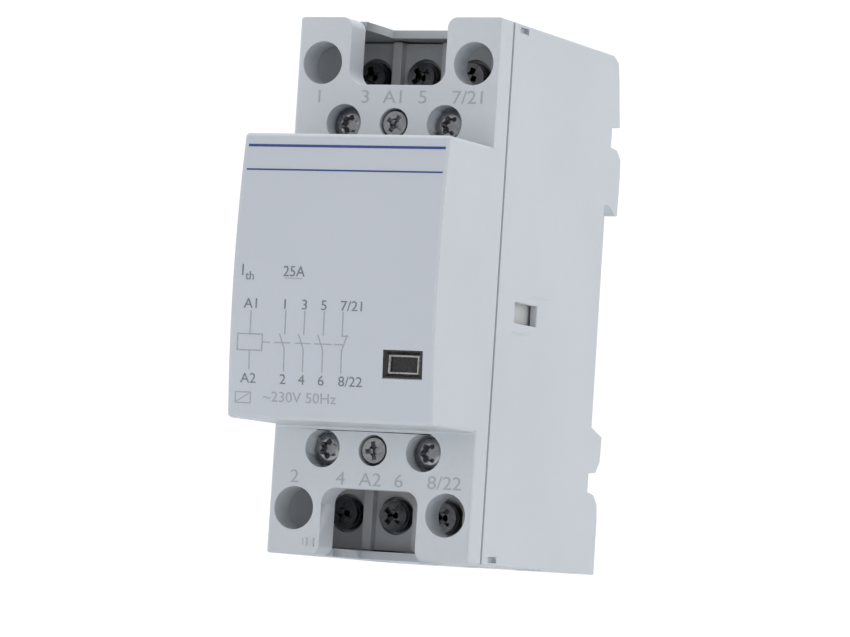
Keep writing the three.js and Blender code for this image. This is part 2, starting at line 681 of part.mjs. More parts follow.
// ---- Screws ----
// A pan head with a cross recess, on a plain shank.
function screw(x, z, headY, headRadius, headHeight, shankRadius, shankEndY) {
  const head = rod(headRadius, headY, headY + headHeight, x, z, 20);
  const shank = rod(shankRadius, headY + headHeight - EDGE, shankEndY, x, z, 12);
  const slot = (headRadius * CROSS_WIDTH) / 2;
  const arm = headRadius * CROSS_REACH;
  const depth = headY + headHeight * CROSS_DEPTH;
  return cut(
    join(head, shank),
    box(x - arm, x + arm, headY - EDGE, depth, z - slot, z + slot),
    box(x - slot, x + slot, headY - EDGE, depth, z - arm, z + arm),
  );
}

// ---- Terminals ----
// The moulding that the poles' screws and clamps sit in. Drawn for the upper end.
function terminalBlock() {
  const edgeX = innerX - GAP;
  const half = clampWidth / 2 + RUNNING_GAP;
  const bore = SCREW_SHANK_RADIUS + SHANK_CLEARANCE;
  let block = box(-edgeX, edgeX, blockFrontY, blockRearY, blockInnerZ, blockOuterZ);
  for (let pole = 0; pole < POLES; pole++) {
    const x = poleX(pole);
    const z0 = blockInnerZ - EDGE;
    const z1 = blockOuterZ + EDGE;
    const left = pole === 0 ? -edgeX - EDGE : x - half;
    const right = pole === POLES - 1 ? edgeX + EDGE : x + half;
    block = cut(
      block,
      box(left, right, blockWallRearY, blockRearY + EDGE, z0, z1),
      rod(WELL_RADIUS, blockFrontY - EDGE, headSeatY, x, terminalZ, 24),
      rod(bore, headSeatY - EDGE, blockWallRearY + EDGE, x, terminalZ, 14),
    );
  }
  for (let rib = 1; rib < POLES; rib++) {
    const x = poleX(rib) - bay / 2;
    const x0 = x - BLOCK_RIB / 2;
    const ribY = blockFrontY - BLOCK_RIB_PROUD;
    block = block.add(
      box(x0, x0 + BLOCK_RIB, ribY, blockFrontY + EDGE, blockInnerZ, blockOuterZ),
    );
  }
  return block;
}

// A strip from the terminal's bar, forward along a riser and in to the contact tip. Drawn for the
// upper end.
function fixedContact(pole) {
  const x = poleX(pole);
  const t = STRIP_THICKNESS;
  const outerZ = blockOuterZ - STRIP_END;
  const outline = [
    [BAR_Y, outerZ],
    [BAR_Y, riserZ],
    [CONTACT_LEVEL_Y, riserZ],
    [CONTACT_LEVEL_Y, ARM_END_Z],
    [contactLevelRearY, ARM_END_Z],
    [contactLevelRearY, riserZ - t],
    [barRearY, riserZ - t],
    [barRearY, outerZ],
  ].reverse();
  const strip = extrude("x", outline, x - stripWidth / 2, x + stripWidth / 2);
  const breaks = isBreak(pole);
  const tipFrontY = breaks ? contactLevelRearY - EDGE : CONTACT_LEVEL_Y - TIP_HEIGHT;
  const tipRearY = breaks ? contactLevelRearY + TIP_HEIGHT : CONTACT_LEVEL_Y + EDGE;
  return join(strip, rod(TIP_RADIUS, tipFrontY, tipRearY, x, TIP_Z, 12));
}

// The cage that the screw draws forward, pressing the wire against the bar.
function clampCage(x, z, size) {
  const { barFrontY, bar, width, length, wall, floor, nut, space, shank } = size;
  const nutFrontY = barFrontY - RUNNING_GAP - nut;
  const innerRearY = barFrontY + bar + space;
  const half = width / 2;
  const cage = box(
    x - half,
    x + half,
    nutFrontY,
    innerRearY + floor,
    z - length / 2,
    z + length / 2,
  );
  const open = box(
    x - half + wall,
    x + half - wall,
    barFrontY - RUNNING_GAP,
    innerRearY,
    z - length / 2 - EDGE,
    z + length / 2 + EDGE,
  );
  return cut(cage, open, rod(shank + SHANK_PLAY, nutFrontY - EDGE, barFrontY, x, z, 14));
}

const poleClampSize = {
  barFrontY: BAR_Y,
  bar: STRIP_THICKNESS,
  width: clampWidth,
  length: CLAMP_LENGTH,
  wall: CLAMP_WALL,
  floor: CLAMP_FLOOR,
  nut: CLAMP_NUT,
  space: WIRE_SPACE,
  shank: SCREW_SHANK_RADIUS,
};

const coilClampSize = {
  barFrontY: COIL_BAR_Y,
  bar: COIL_BAR_THICKNESS,
  width: COIL_CLAMP_WIDTH,
  length: COIL_CLAMP_LENGTH,
  wall: COIL_CLAMP_WALL,
  floor: COIL_CLAMP_FLOOR,
  nut: COIL_CLAMP_NUT,
  space: COIL_WIRE_SPACE,
  shank: COIL_SHANK_RADIUS,
};

// The coil's terminal: a bar under the small screw, with a leg towards the coil.
function coilTerminal() {
  const half = COIL_CLAMP_WIDTH / 2 - COIL_CLAMP_WALL - STRIP_PLAY;
  const rearY = COIL_BAR_Y + COIL_BAR_THICKNESS;
  const outerZ = rowZ + COIL_CLAMP_LENGTH / 2 + COIL_BAR_END;
  const legEndY = yokeFrontY - STRIP_THICKNESS;
  const outline = [
    [COIL_BAR_Y, outerZ],
    [COIL_BAR_Y, coilLegZ - COIL_BAR_THICKNESS],
    [legEndY, coilLegZ - COIL_BAR_THICKNESS],
    [legEndY, coilLegZ],
    [rearY, coilLegZ],
    [rearY, outerZ],
  ].reverse();
  return extrude("x", outline, -half, half);
}

// The winding's own wire from its outer layer, past the flange and round the armature,
// to the terminal's leg. Drawn for the upper end.
function coilLead() {
  const startX = COIL_CLAMP_WIDTH / 2 - COIL_CLAMP_WALL + 0.4;
  const besideX = BOBBIN_HALF_X - 3;
  const windingZ = bobbinHalfZ - WINDING_INSET;
  const points = [
    [startX, contactLevelRearY + 0.8, coilLegZ - 0.4],
    [startX + 1.6, contactLevelRearY + 1.4, coilLegZ - 0.6],
    [besideX - 2.4, contactLevelRearY + 2.2, coilLegZ - 1],
    [besideX, contactLevelRearY + 5, coilLegZ - 1.2],
    [besideX + 0.4, yokeRearY + 3, coilLegZ - 2.6],
    [besideX, bobbinFrontY - 1.4, bobbinHalfZ + 0.9],
    [besideX, bobbinFrontY + 1, bobbinHalfZ + 0.7],
    [besideX, bobbinFrontY + 2.6, windingZ - 0.1],
    [besideX, bobbinFrontY + 3.8, windingZ - 0.8],
  ];
  const path = new THREE.CatmullRomCurve3(points.map((p) => new THREE.Vector3(...p)));
  return sweep(path, LEAD_RADIUS, 5, 20);
}

// ---- Moving contacts ----
function contactBridge(pole) {
  const x = poleX(pole);
  const half = BRIDGE_WIDTH / 2;
  const endZ = TIP_Z + TIP_RADIUS + BRIDGE_END;
  const frontY = isBreak(pole) ? breakBridgeFrontY : makeBridgeFrontY;
  const rearY = frontY + BRIDGE_THICKNESS;
  let bridge = box(x - half, x + half, frontY, rearY, -endZ, endZ);
  for (const z of [-TIP_Z, TIP_Z]) {
    const tip = isBreak(pole)
      ? rod(TIP_RADIUS, frontY - TIP_HEIGHT, frontY + EDGE, x, z, 12)
      : rod(TIP_RADIUS, rearY - EDGE, rearY + TIP_HEIGHT, x, z, 12);
    bridge = bridge.add(tip);
  }
  return bridge;
}

function contactSpring(pole) {
  const seatY = CARRIER_REAR_Y - CARRIER_REAR_WALL - SPRING_SEAT;
  const from = isBreak(pole) ? breakBridgeRearY + SPRING_SEAT : makeSpringFrontY;
  const to = isBreak(pole) ? seatY : makeBridgeFrontY - SPRING_SEAT;
  const centre = [poleX(pole), 0];
  return spring("y", centre, CONTACT_SPRING_RADIUS, CONTACT_SPRING_WIRE, from, to, 5);
}

// The moulded carrier: a column with a window for each bridge, a yoke that holds the armature,
// and an arm to the indicator.
function contactCarrier() {
  const middleHalf = poleX(POLES - 1) - bay / 2;
  const footY = carrierFrontY - STEM_FOOT_HEIGHT;
  const stemEndY = indicatorFrontY + FLAG_LENGTH + GAP;
  const stemZ0 = WINDOW_Z - STEM_HALF;
  const yokeHalfZ = RETURN_SPRING_Z + RETURN_SPRING_END;
  let carrier = join(
    box(-carrierHalfX, carrierHalfX, carrierFrontY, yokeRearY, -CARRIER_HALF_Z, CARRIER_HALF_Z),
    box(
      middleHalf,
      carrierHalfX,
      yokeRearY - EDGE,
      CARRIER_REAR_Y,
      -CARRIER_HALF_Z,
      CARRIER_HALF_Z,
    ),
    box(
      -carrierHalfX,
      -middleHalf,
      yokeRearY - EDGE,
      CARRIER_REAR_Y,
      -CARRIER_HALF_Z,
      CARRIER_HALF_Z,
    ),
    box(-YOKE_HALF_X, YOKE_HALF_X, yokeFrontY, yokeRearY, -yokeHalfZ, yokeHalfZ),
    box(
      WINDOW_X - STEM_FOOT_HALF,
      WINDOW_X + STEM_FOOT_HALF,
      footY,
      carrierFrontY + EDGE,
      stemZ0,
      CARRIER_HALF_Z,
    ),
    box(
      WINDOW_X - STEM_HALF,
      WINDOW_X + STEM_HALF,
      stemEndY,
      footY + EDGE,
      stemZ0,
      WINDOW_Z + STEM_HALF,
    ),
  );
  for (let pole = 0; pole < POLES; pole++) carrier = carrier.subtract(bridgeWindow(pole));
  const slotHalf = COIL_CLAMP_WIDTH / 2;
  for (const end of [-1, 1]) {
    const z = end * (coilLegZ - COIL_BAR_THICKNESS / 2);
    const z0 = z - LEG_SLOT_HALF;
    const z1 = z + LEG_SLOT_HALF;
    carrier = carrier.subtract(
      box(-slotHalf, slotHalf, yokeFrontY - EDGE, yokeRearY + EDGE, z0, z1),
    );
  }
  return carrier;
}

function bridgeWindow(pole) {
  const x = poleX(pole);
  const half = BRIDGE_WIDTH / 2 + GAP;
  const z = CARRIER_HALF_Z + EDGE;
  if (isBreak(pole)) {
    const frontY = breakBridgeFrontY - OVERTRAVEL - GAP;
    return box(x - half, x + half, frontY, CARRIER_REAR_Y - CARRIER_REAR_WALL, -z, z);
  }
  return box(x - half, x + half, makeSpringFrontY - GAP, makeBridgeRearY + GAP, -z, z);
}

function positionIndicator() {
  const halfX = FLAG_WIDTH / 2;
  const halfZ = FLAG_HEIGHT / 2;
  return box(
    WINDOW_X - halfX,
    WINDOW_X + halfX,
    indicatorFrontY,
    indicatorFrontY + FLAG_LENGTH,
    WINDOW_Z - halfZ,
    WINDOW_Z + halfZ,
  );
}

// ---- Magnet and coil ----
function fixedCore() {
  const half = STACK_WIDTH / 2;
  const outerInnerZ = CORE_HALF_Z - OUTER_LEG;
  const yokeY = CORE_REAR_Y - CORE_YOKE;
  let core = join(
    box(-half, half, yokeY, CORE_REAR_Y, -CORE_HALF_Z, CORE_HALF_Z),
    box(-half, half, POLE_FACE_Y, yokeY + EDGE, -CENTRE_LEG_HALF, CENTRE_LEG_HALF),
    box(-half, half, POLE_FACE_Y, yokeY + EDGE, outerInnerZ, CORE_HALF_Z),
    box(-half, half, POLE_FACE_Y, yokeY + EDGE, -CORE_HALF_Z, -outerInnerZ),
  );
  for (const end of [-1, 1]) core = core.subtract(ringGroove(end));
  return core;
}

// The groove in a pole face that the shading ring's inner bar lies in.
function ringGroove(end) {
  const z = end * (ringInnerZ - RING_WALL / 2);
  const half = RING_WALL / 2 + RING_PLAY;
  const x = STACK_WIDTH / 2 + EDGE;
  const rearY = ringFrontY + RING_DEPTH + RING_PLAY;
  return box(-x, x, POLE_FACE_Y - EDGE, rearY, z - half, z + half);
}

// Drawn for the upper end.
function shadingRing() {
  const outX = STACK_WIDTH / 2 + RING_INSET + RING_WALL;
  const outZ = CORE_HALF_Z + RING_INSET + RING_WALL;
  const inX = outX - RING_WALL;
  const rearY = ringFrontY + RING_DEPTH;
  return cut(
    box(-outX, outX, ringFrontY, rearY, ringInnerZ - RING_WALL, outZ),
    box(-inX, inX, ringFrontY - EDGE, rearY + EDGE, ringInnerZ, outZ - RING_WALL),
  );
}

function armature() {
  const half = STACK_WIDTH / 2;
  return box(-half, half, armatureFrontY, armatureRearY, -CORE_HALF_Z, CORE_HALF_Z);
}

function coilBobbin() {
  const tubeX = bobbinInnerX + BOBBIN_WALL;
  const tubeZ = bobbinInnerZ + BOBBIN_WALL;
  const flange = (y) =>
    box(-BOBBIN_HALF_X, BOBBIN_HALF_X, y, y + BOBBIN_WALL, -bobbinHalfZ, bobbinHalfZ);
  return cut(
    join(
      flange(bobbinFrontY),
      flange(bobbinRearY - BOBBIN_WALL),
      box(-tubeX, tubeX, bobbinFrontY, bobbinRearY, -tubeZ, tubeZ),
    ),
    box(
      -bobbinInnerX,
      bobbinInnerX,
      bobbinFrontY - EDGE,
      bobbinRearY + EDGE,
      -bobbinInnerZ,
      bobbinInnerZ,
    ),
  );
}

function coilWinding() {
  const y0 = bobbinFrontY + BOBBIN_WALL + WINDING_GAP;
  const y1 = bobbinRearY - BOBBIN_WALL - WINDING_GAP;
  const outX = BOBBIN_HALF_X - WINDING_INSET;
  const outZ = bobbinHalfZ - WINDING_INSET;
  const inX = bobbinInnerX + BOBBIN_WALL + WINDING_GAP;
  const inZ = bobbinInnerZ + BOBBIN_WALL + WINDING_GAP;
  const winding = cut(
    extrude("y", roundedRect(outX, outZ, WINDING_CORNER), y0, y1),
    box(-inX, inX, y0 - EDGE, y1 + EDGE, -inZ, inZ),
  );
  return join(winding, coilLead(), turned(coilLead(), -1));
}

function roundedRect(halfX, halfZ, radius) {
  const shape = new THREE.Shape();
  shape.moveTo(-halfX + radius, -halfZ);
  shape.lineTo(halfX - radius, -halfZ);
  shape.absarc(halfX - radius, -halfZ + radius, radius, -Math.PI / 2, 0, false);
  shape.lineTo(halfX, halfZ - radius);
  shape.absarc(halfX - radius, halfZ - radius, radius, 0, Math.PI / 2, false);
  shape.lineTo(-halfX + radius, halfZ);
  shape.absarc(-halfX + radius, halfZ - radius, radius, Math.PI / 2, Math.PI, false);
  shape.lineTo(-halfX, -halfZ + radius);
  shape.absarc(-halfX + radius, -halfZ + radius, radius, Math.PI, 1.5 * Math.PI, false);
  return shape;
}

function returnSpring(end) {
  return spring(
    "y",
    [0, end * RETURN_SPRING_Z],
    RETURN_SPRING_RADIUS,
    RETURN_SPRING_WIRE,
    yokeRearY + SPRING_PLAY,
    RETURN_SPRING_SEAT_Y - SPRING_PLAY,
    6,
  );
}

// ---- Assembly ----
place("base_housing", baseHousing(), "housing");
place("front_cover", frontCover(), "housing");
place("front_label", frontLabel(), "label");
place("din_latch", dinLatch(), "latch");
place("din_latch_spring", latchSpring(), "steel");
place("contact_carrier", contactCarrier(), "carrier");
place("position_indicator", positionIndicator(), "black");
place("fixed_core", fixedCore(), "laminate");
place("armature", armature(), "laminate");
place("coil_bobbin", coilBobbin(), "bobbin");
place("coil_winding", coilWinding(), "copper");

for (let pole = 0; pole < POLES; pole++) {
  const pair = `${2 * pole + 1}_${2 * pole + 2}`;
  place(`contact_bridge_${pair}`, contactBridge(pole), "copper");
  place(`contact_spring_${pair}`, contactSpring(pole), "steel");
}

const ENDS = [
  { end: 1, name: "upper", coil: "a1" },
  { end: -1, name: "lower", coil: "a2" },
];

for (const { end, name, coil } of ENDS) {
  place(`terminal_block_${name}`, turned(terminalBlock(), end), "block");
  place(`shading_ring_${name}`, turned(shadingRing(), end), "copper");
  place(`return_spring_${name}`, returnSpring(end), "steel");
  place(`coil_terminal_${coil}`, turned(coilTerminal(), end), "brass");
  place(`coil_clamp_${coil}`, clampCage(0, end * rowZ, coilClampSize), "steel");
  place(
    `coil_screw_${coil}`,
    screw(
      0,
      end * rowZ,
      COIL_HEAD_Y,
      COIL_HEAD_RADIUS,
      COIL_HEAD_HEIGHT,
      COIL_SHANK_RADIUS,
      COIL_BAR_Y - CONTACT_GAP,
    ),
    "steel",
  );
  for (const side of [-1, 1]) {
    place(
      `cover_screw_${name}_${side < 0 ? "left" : "right"}`,
      screw(
        side * bay,
        end * rowZ,
        COVER_SCREW_HEAD_Y,
        COVER_SCREW_HEAD_RADIUS,
        COVER_SCREW_HEAD_HEIGHT,
        COVER_SCREW_SHANK_RADIUS,
        COVER_SCREW_END_Y,
      ),
      "steel",
    );
  }
  for (let pole = 0; pole < POLES; pole++) {
    const number = 2 * pole + (end > 0 ? 1 : 2);
    place(`fixed_contact_${number}`, turned(fixedContact(pole), end), "brass");
    const clamp = clampCage(poleX(pole), end * terminalZ, poleClampSize);
    place(`terminal_clamp_${number}`, clamp, "steel");
    place(
      `terminal_screw_${number}`,
      screw(
        poleX(pole),
        end * terminalZ,
        screwHeadY,
        SCREW_HEAD_RADIUS,
        SCREW_HEAD_HEIGHT,
        SCREW_SHANK_RADIUS,
        BAR_Y - CONTACT_GAP,
      ),
      "steel",
    );
  }
}

export default contactor;
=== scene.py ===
"""Looks of a two-module installation contactor: a moulded case with a raised, printed middle,
screw terminals seen through its holes and notches, and the magnet and contacts inside.

Sizes here are millimetres until a mesh becomes a piece. +X is right, +Y goes back to the rail
and +Z is up.
"""

import json
import math

import bmesh
import bpy
from mathutils import Matrix, Vector

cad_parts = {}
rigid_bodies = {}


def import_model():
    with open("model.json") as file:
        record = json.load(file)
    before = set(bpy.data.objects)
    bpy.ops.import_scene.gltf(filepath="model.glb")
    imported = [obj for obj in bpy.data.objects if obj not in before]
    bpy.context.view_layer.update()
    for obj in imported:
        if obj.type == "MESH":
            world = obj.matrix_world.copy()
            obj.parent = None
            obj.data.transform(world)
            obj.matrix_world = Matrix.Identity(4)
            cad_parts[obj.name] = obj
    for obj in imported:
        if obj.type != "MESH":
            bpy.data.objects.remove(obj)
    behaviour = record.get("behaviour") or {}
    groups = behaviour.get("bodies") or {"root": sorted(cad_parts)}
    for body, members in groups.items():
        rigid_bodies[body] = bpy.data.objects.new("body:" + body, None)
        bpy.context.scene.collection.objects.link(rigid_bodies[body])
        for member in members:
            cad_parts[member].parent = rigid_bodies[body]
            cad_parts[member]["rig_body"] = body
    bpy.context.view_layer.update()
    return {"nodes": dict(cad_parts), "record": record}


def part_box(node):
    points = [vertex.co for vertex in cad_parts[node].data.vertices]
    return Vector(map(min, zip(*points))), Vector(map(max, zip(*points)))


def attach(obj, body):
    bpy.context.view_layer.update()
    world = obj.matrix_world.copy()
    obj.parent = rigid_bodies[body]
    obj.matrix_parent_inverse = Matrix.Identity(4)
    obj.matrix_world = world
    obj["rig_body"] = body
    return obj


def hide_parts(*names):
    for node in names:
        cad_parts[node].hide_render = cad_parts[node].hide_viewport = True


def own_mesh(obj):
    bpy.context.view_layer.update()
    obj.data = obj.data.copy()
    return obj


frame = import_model()

MM = 0.001
TO_METRES = Matrix.Scale(MM, 4)
TO_MILLIMETRES = Matrix.Scale(1 / MM, 4)
FACING_FRONT = Matrix.Rotation(math.radians(90), 4, "X")  # +Z turns to the front, and +Y up

# ---- Places read from the frame ----


def corners(node):
    """Lowest and highest corner of a CAD node, in millimetres."""
    low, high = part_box(node)
    return low / MM, high / MM


case_low, case_high = corners("base_housing")
cover_low, _ = corners("front_cover")
label_low, label_high = corners("front_label")
HALF_WIDTH = case_high.x
HALF_HEIGHT = case_high.z
NOSE_Y = -59.5  # at the upper and lower edge of the raised middle
NOSE_CROWN = NOSE_Y - cover_low.y
NOSE_HALF_HEIGHT = 22.2
SHOULDER_Y = -44.0  # the face about the screws, above and below the raised middle


def bow(z):
    """How far the front of the raised middle stands out at a height."""
    return NOSE_CROWN * (1 - (z / NOSE_HALF_HEIGHT) ** 2)


SLOT_OF = {row["node"]: row["material_slot"] for row in frame["record"]["subparts"]}


# ---- Materials ----


class Finish:
    """One material being built: a principled shader and short calls that feed it."""

    def __init__(self, name, roughness, metallic=0.0):
        self.material = bpy.data.materials.new(name)
        self.material.use_nodes = True
        self.tree = self.material.node_tree
        self.tree.nodes.clear()
        output = self.add("ShaderNodeOutputMaterial")
        self.shader = self.add("ShaderNodeBsdfPrincipled")
        self.link(self.shader.outputs["BSDF"], output.inputs["Surface"])
        self.shader.inputs["Roughness"].default_value = roughness
        self.shader.inputs["Metallic"].default_value = metallic
        self.place = self.add("ShaderNodeTexCoord").outputs["Object"]

    def add(self, kind):
        return self.tree.nodes.new(kind)

    def link(self, source, target):
        self.tree.links.new(source, target)

    def stretched(self, scale, centre=(0, 0, 0)):
        """Object coordinates, scaled differently along each axis."""
        mapping = self.add("ShaderNodeMapping")
        mapping.inputs["Location"].default_value = centre
        mapping.inputs["Scale"].default_value = scale
        self.link(self.place, mapping.inputs["Vector"])
        return mapping.outputs["Vector"]

    def noise(self, size, detail=2.0, roughness=0.5, place=None):
        """Noise whose features are about `size` millimetres across."""
        texture = self.add("ShaderNodeTexNoise")
        texture.inputs["Scale"].default_value = 1 / (size * MM)
        texture.inputs["Detail"].default_value = detail
        texture.inputs["Roughness"].default_value = roughness
        self.link(place or self.place, texture.inputs["Vector"])
        return texture.outputs["Fac"]

    def ramp(self, factor, low, high, dark, light):
        """Spreads a factor between two colours."""
        ramp = self.add("ShaderNodeValToRGB")
        ramp.color_ramp.elements[0].position = low
        ramp.color_ramp.elements[1].position = high
        ramp.color_ramp.elements[0].color = (*dark, 1)
        ramp.color_ramp.elements[1].color = (*light, 1)
        self.link(factor, ramp.inputs["Fac"])
        return ramp.outputs["Color"]

    def blend(self, factor, first, second, mode="MIX"):
        """Mixes two colours; each is a colour or a socket, and so is the factor."""
        mix = self.add("ShaderNodeMix")
        mix.data_type = "RGBA"
        mix.blend_type = mode
        pairs = ((mix.inputs[0], factor), (mix.inputs[6], first), (mix.inputs[7], second))
        for socket, value in pairs:
            if isinstance(value, bpy.types.NodeSocket):
                self.link(value, socket)
            else:
                socket.default_value = value if isinstance(value, float) else (*value, 1)
        return mix.outputs[2]

    def spread(self, factor, low, high):
        """Stretches a factor, whose middle is a half, to run from low to high."""
        reach = self.add("ShaderNodeMapRange")
        reach.inputs["From Min"].default_value = 0.3
        reach.inputs["From Max"].default_value = 0.7
        reach.inputs["To Min"].default_value = low
        reach.inputs["To Max"].default_value = high
        self.link(factor, reach.inputs["Value"])
        return reach.outputs["Result"]

    def colour(self, socket):
        self.link(socket, self.shader.inputs["Base Color"])

    def roughness(self, socket):
        self.link(socket, self.shader.inputs["Roughness"])

    def bump(self, *layers):
        """Each layer is a height factor and its depth in millimetres, the finest first."""
        normal = None
        for height, depth in layers:
            bump = self.add("ShaderNodeBump")
            bump.inputs["Strength"].default_value = 1.0
            bump.inputs["Distance"].default_value = depth * MM
            self.link(height, bump.inputs["Height"])
            if normal is not None:
                self.link(normal, bump.inputs["Normal"])
            normal = bump.outputs["Normal"]
        self.link(normal, self.shader.inputs["Normal"])


def shade(colour, share):
    """The colour made darker or lighter."""
    return tuple(min(1.0, channel * share) for channel in colour)


def moulded_plastic(name, colour, roughness, grain=0.35, grain_depth=0.012, drift=0.03, gloss=0.35):
    """Spark-eroded moulded plastic: a fine grain, slow colour drift and a faint sink-mark swell."""
    finish = Finish(name, roughness)
    finish.shader.inputs["Specular IOR Level"].default_value = gloss
    slow = finish.noise(28, detail=3)
    fine = finish.noise(grain, detail=3, roughness=0.65)
    speck = finish.noise(grain * 3.1, detail=4, roughness=0.7)
    base = finish.ramp(slow, 0.3, 0.7, shade(colour, 1 - drift), shade(colour, 1 + drift))
    mottled = finish.ramp(speck, 0.35, 0.65, (0.975, 0.977, 0.98), (1.0, 1.0, 1.0))
    finish.colour(finish.blend(1.0, base, mottled, "MULTIPLY"))
    finish.roughness(finish.spread(speck, roughness - 0.05, roughness + 0.06))
    swell = finish.noise(9, detail=1)
    finish.bump((fine, grain_depth), (swell, 0.05))
    return finish.material


def printed_face(name, colour):
    """The printed middle: smoother than the case, with the faint weave of a printed film."""
    finish = Finish(name, 0.42)
    finish.shader.inputs["Specular IOR Level"].default_value = 0.4
    slow = finish.noise(35, detail=2)
    fine = finish.noise(0.22, detail=2, roughness=0.6)
    finish.colour(finish.ramp(slow, 0.3, 0.7, shade(colour, 0.985), shade(colour, 1.015)))
    finish.roughness(finish.spread(fine, 0.38, 0.48))
    finish.bump((fine, 0.004), (finish.noise(14, detail=1), 0.03))
    return finish.material


def printing_ink(name, colour, worn):
    """Ink with the small gaps and thin spots of pad printing."""
    finish = Finish(name, 0.5)
    patch = finish.noise(0.35, detail=4, roughness=0.7)
    finish.colour(finish.ramp(patch, 0.35, 0.8, colour, worn))
    finish.bump((patch, 0.004))
    return finish.material


def plated_metal(name, colour, tint, roughness, cloud=1.6):
    """Plated metal: cloudy passivation, fine rubbed scratches and a slightly uneven gloss."""
    finish = Finish(name, roughness, metallic=1.0)
    clouds = finish.noise(cloud, detail=4, roughness=0.6)
    rubbed = finish.noise(0.12, detail=2, place=finish.stretched((0.12, 1, 1)))
    base = finish.ramp(clouds, 0.35, 0.7, colour, tint)
    scratched = finish.ramp(rubbed, 0.35, 0.7, shade(colour, 0.7), colour)
    finish.colour(finish.blend(0.12, base, scratched))
    finish.roughness(finish.spread(clouds, roughness - 0.05, roughness + 0.1))
    finish.bump((rubbed, 0.0012), (clouds, 0.006))
    return finish.material


def rolled_sheet(name, colour, roughness):
    """Magnet sheets: each one a little different, with the grain of a sheared edge."""
    finish = Finish(name, roughness, metallic=1.0)
    sheets = finish.noise(0.5, detail=0, place=finish.stretched((1, 0.001, 0.001)))
    sheared = finish.noise(0.3, detail=3, place=finish.stretched((1, 0.2, 0.2)))
    base = finish.ramp(sheets, 0.35, 0.65, shade(colour, 0.7), shade(colour, 1.15))
    edge = finish.ramp(sheared, 0.3, 0.7, shade(colour, 0.6), colour)
    finish.colour(finish.blend(0.3, base, edge))
    finish.roughness(finish.spread(sheared, roughness - 0.05, roughness + 0.15))
    finish.bump((sheared, 0.01))
    return finish.material


def enamelled_wire(name, colour, dark):
    """Copper wire under clear enamel, which runs darker in places."""
    finish = Finish(name, 0.3, metallic=0.85)
    finish.shader.inputs["Coat Weight"].default_value = 0.6
    finish.shader.inputs["Coat Roughness"].default_value = 0.15
    runs = finish.noise(1.4, detail=3)
    finish.colour(finish.ramp(runs, 0.3, 0.7, dark, colour))
    finish.bump((finish.noise(0.3, detail=2), 0.006))
    return finish.material


def polished_plastic(name, colour, roughness):
    """Polished plastic with dust-fine marks."""
    finish = Finish(name, roughness)
    finish.shader.inputs["Specular IOR Level"].default_value = 0.5
    marks = finish.noise(0.6, detail=5, roughness=0.75)
    finish.colour(finish.ramp(marks, 0.4, 0.85, colour, shade(colour, 2.2)))
    finish.roughness(finish.spread(marks, roughness - 0.05, roughness + 0.15))
    finish.bump((finish.noise(0.5, detail=2), 0.003))
    return finish.material


HOUSING = moulded_plastic("light_grey_case", (0.50, 0.53, 0.56), 0.5)
LABEL = printed_face("printed_grey_face", (0.47, 0.50, 0.55))
BLOCK = moulded_plastic(
    "grey_terminal_moulding", (0.52, 0.54, 0.57), 0.58, grain=0.5, grain_depth=0.02, drift=0.08
)
CARRIER = moulded_plastic("carrier_moulding", (0.56, 0.57, 0.56), 0.5, drift=0.05)
LATCH = moulded_plastic("black_latch_nylon", (0.022, 0.023, 0.026), 0.42, grain=0.4, drift=0.15)
BOBBIN = moulded_plastic("cream_bobbin_nylon", (0.72, 0.68, 0.58), 0.45, drift=0.06)
BLACK = polished_plastic("black_indicator", (0.010, 0.009, 0.009), 0.22)
WINDOW_GREY = polished_plastic("grey_window_rim", (0.30, 0.305, 0.315), 0.25)
INK_GREY = printing_ink("grey_ink", (0.10, 0.115, 0.13), (0.24, 0.26, 0.28))
INK_PALE = printing_ink("pale_grey_ink", (0.27, 0.285, 0.30), (0.37, 0.39, 0.41))
INK_LINE = printing_ink("line_ink", (0.27, 0.29, 0.31), (0.36, 0.38, 0.40))
INK_SHOULDER = printing_ink("shoulder_ink", (0.30, 0.32, 0.34), (0.38, 0.40, 0.42))
INK_BLUE = printing_ink("blue_ink", (0.010, 0.035, 0.17), (0.03, 0.07, 0.26))
ZINC = plated_metal("zinc_plating", (0.27, 0.28, 0.30), (0.36, 0.36, 0.36), 0.2)
# The same zinc plating, painted darker as the shade that falls on the terminal screws deep in their
# wells
SHADED_ZINC = plated_metal("dark_zinc_plating", (0.10, 0.105, 0.115), (0.16, 0.165, 0.175), 0.2)
SPRING = plated_metal("drawn_spring_wire", (0.42, 0.42, 0.43), (0.5, 0.49, 0.47), 0.25, cloud=3)
COPPER = plated_metal("bare_copper", (0.72, 0.36, 0.21), (0.58, 0.27, 0.15), 0.3)
BRASS = plated_metal("tinned_brass", (0.70, 0.62, 0.44), (0.62, 0.50, 0.28), 0.3)
SHEETS = rolled_sheet("magnet_sheets", (0.33, 0.34, 0.35), 0.42)
WIRE = enamelled_wire("enamelled_wire", (0.62, 0.25, 0.10), (0.42, 0.13, 0.05))

FINISH_OF_SLOT = {
    "housing": HOUSING,
    "label": LABEL,
    "block_plastic": BLOCK,
    "black_plastic": BLACK,
    "carrier_plastic": CARRIER,
    "latch_plastic": LATCH,
    "bobbin_plastic": BOBBIN,
    "zinc_steel": ZINC,
    "spring_steel": SPRING,
    "laminated_steel": SHEETS,
    "copper": COPPER,
    "brass": BRASS,
}


# ---- Pieces ----


def body_of(node):
    """Name of the body that a CAD node rides on."""
    return frame["nodes"][node]["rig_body"]


def piece(name, mesh, finishes, body, stands_for=()):
    """Turns a mesh in millimetres into a piece that rides on a body."""
    mesh.transform(TO_METRES)
    mesh.materials.clear()
    for finish in finishes:
        mesh.materials.append(finish)
    made = bpy.data.objects.new(name, mesh)
    bpy.context.scene.collection.objects.link(made)
    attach(made, body)
    if stands_for:
        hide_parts(*stands_for)
    return made


MERGE_REACH = 0.004
FLAT_ENOUGH = math.radians(0.8)


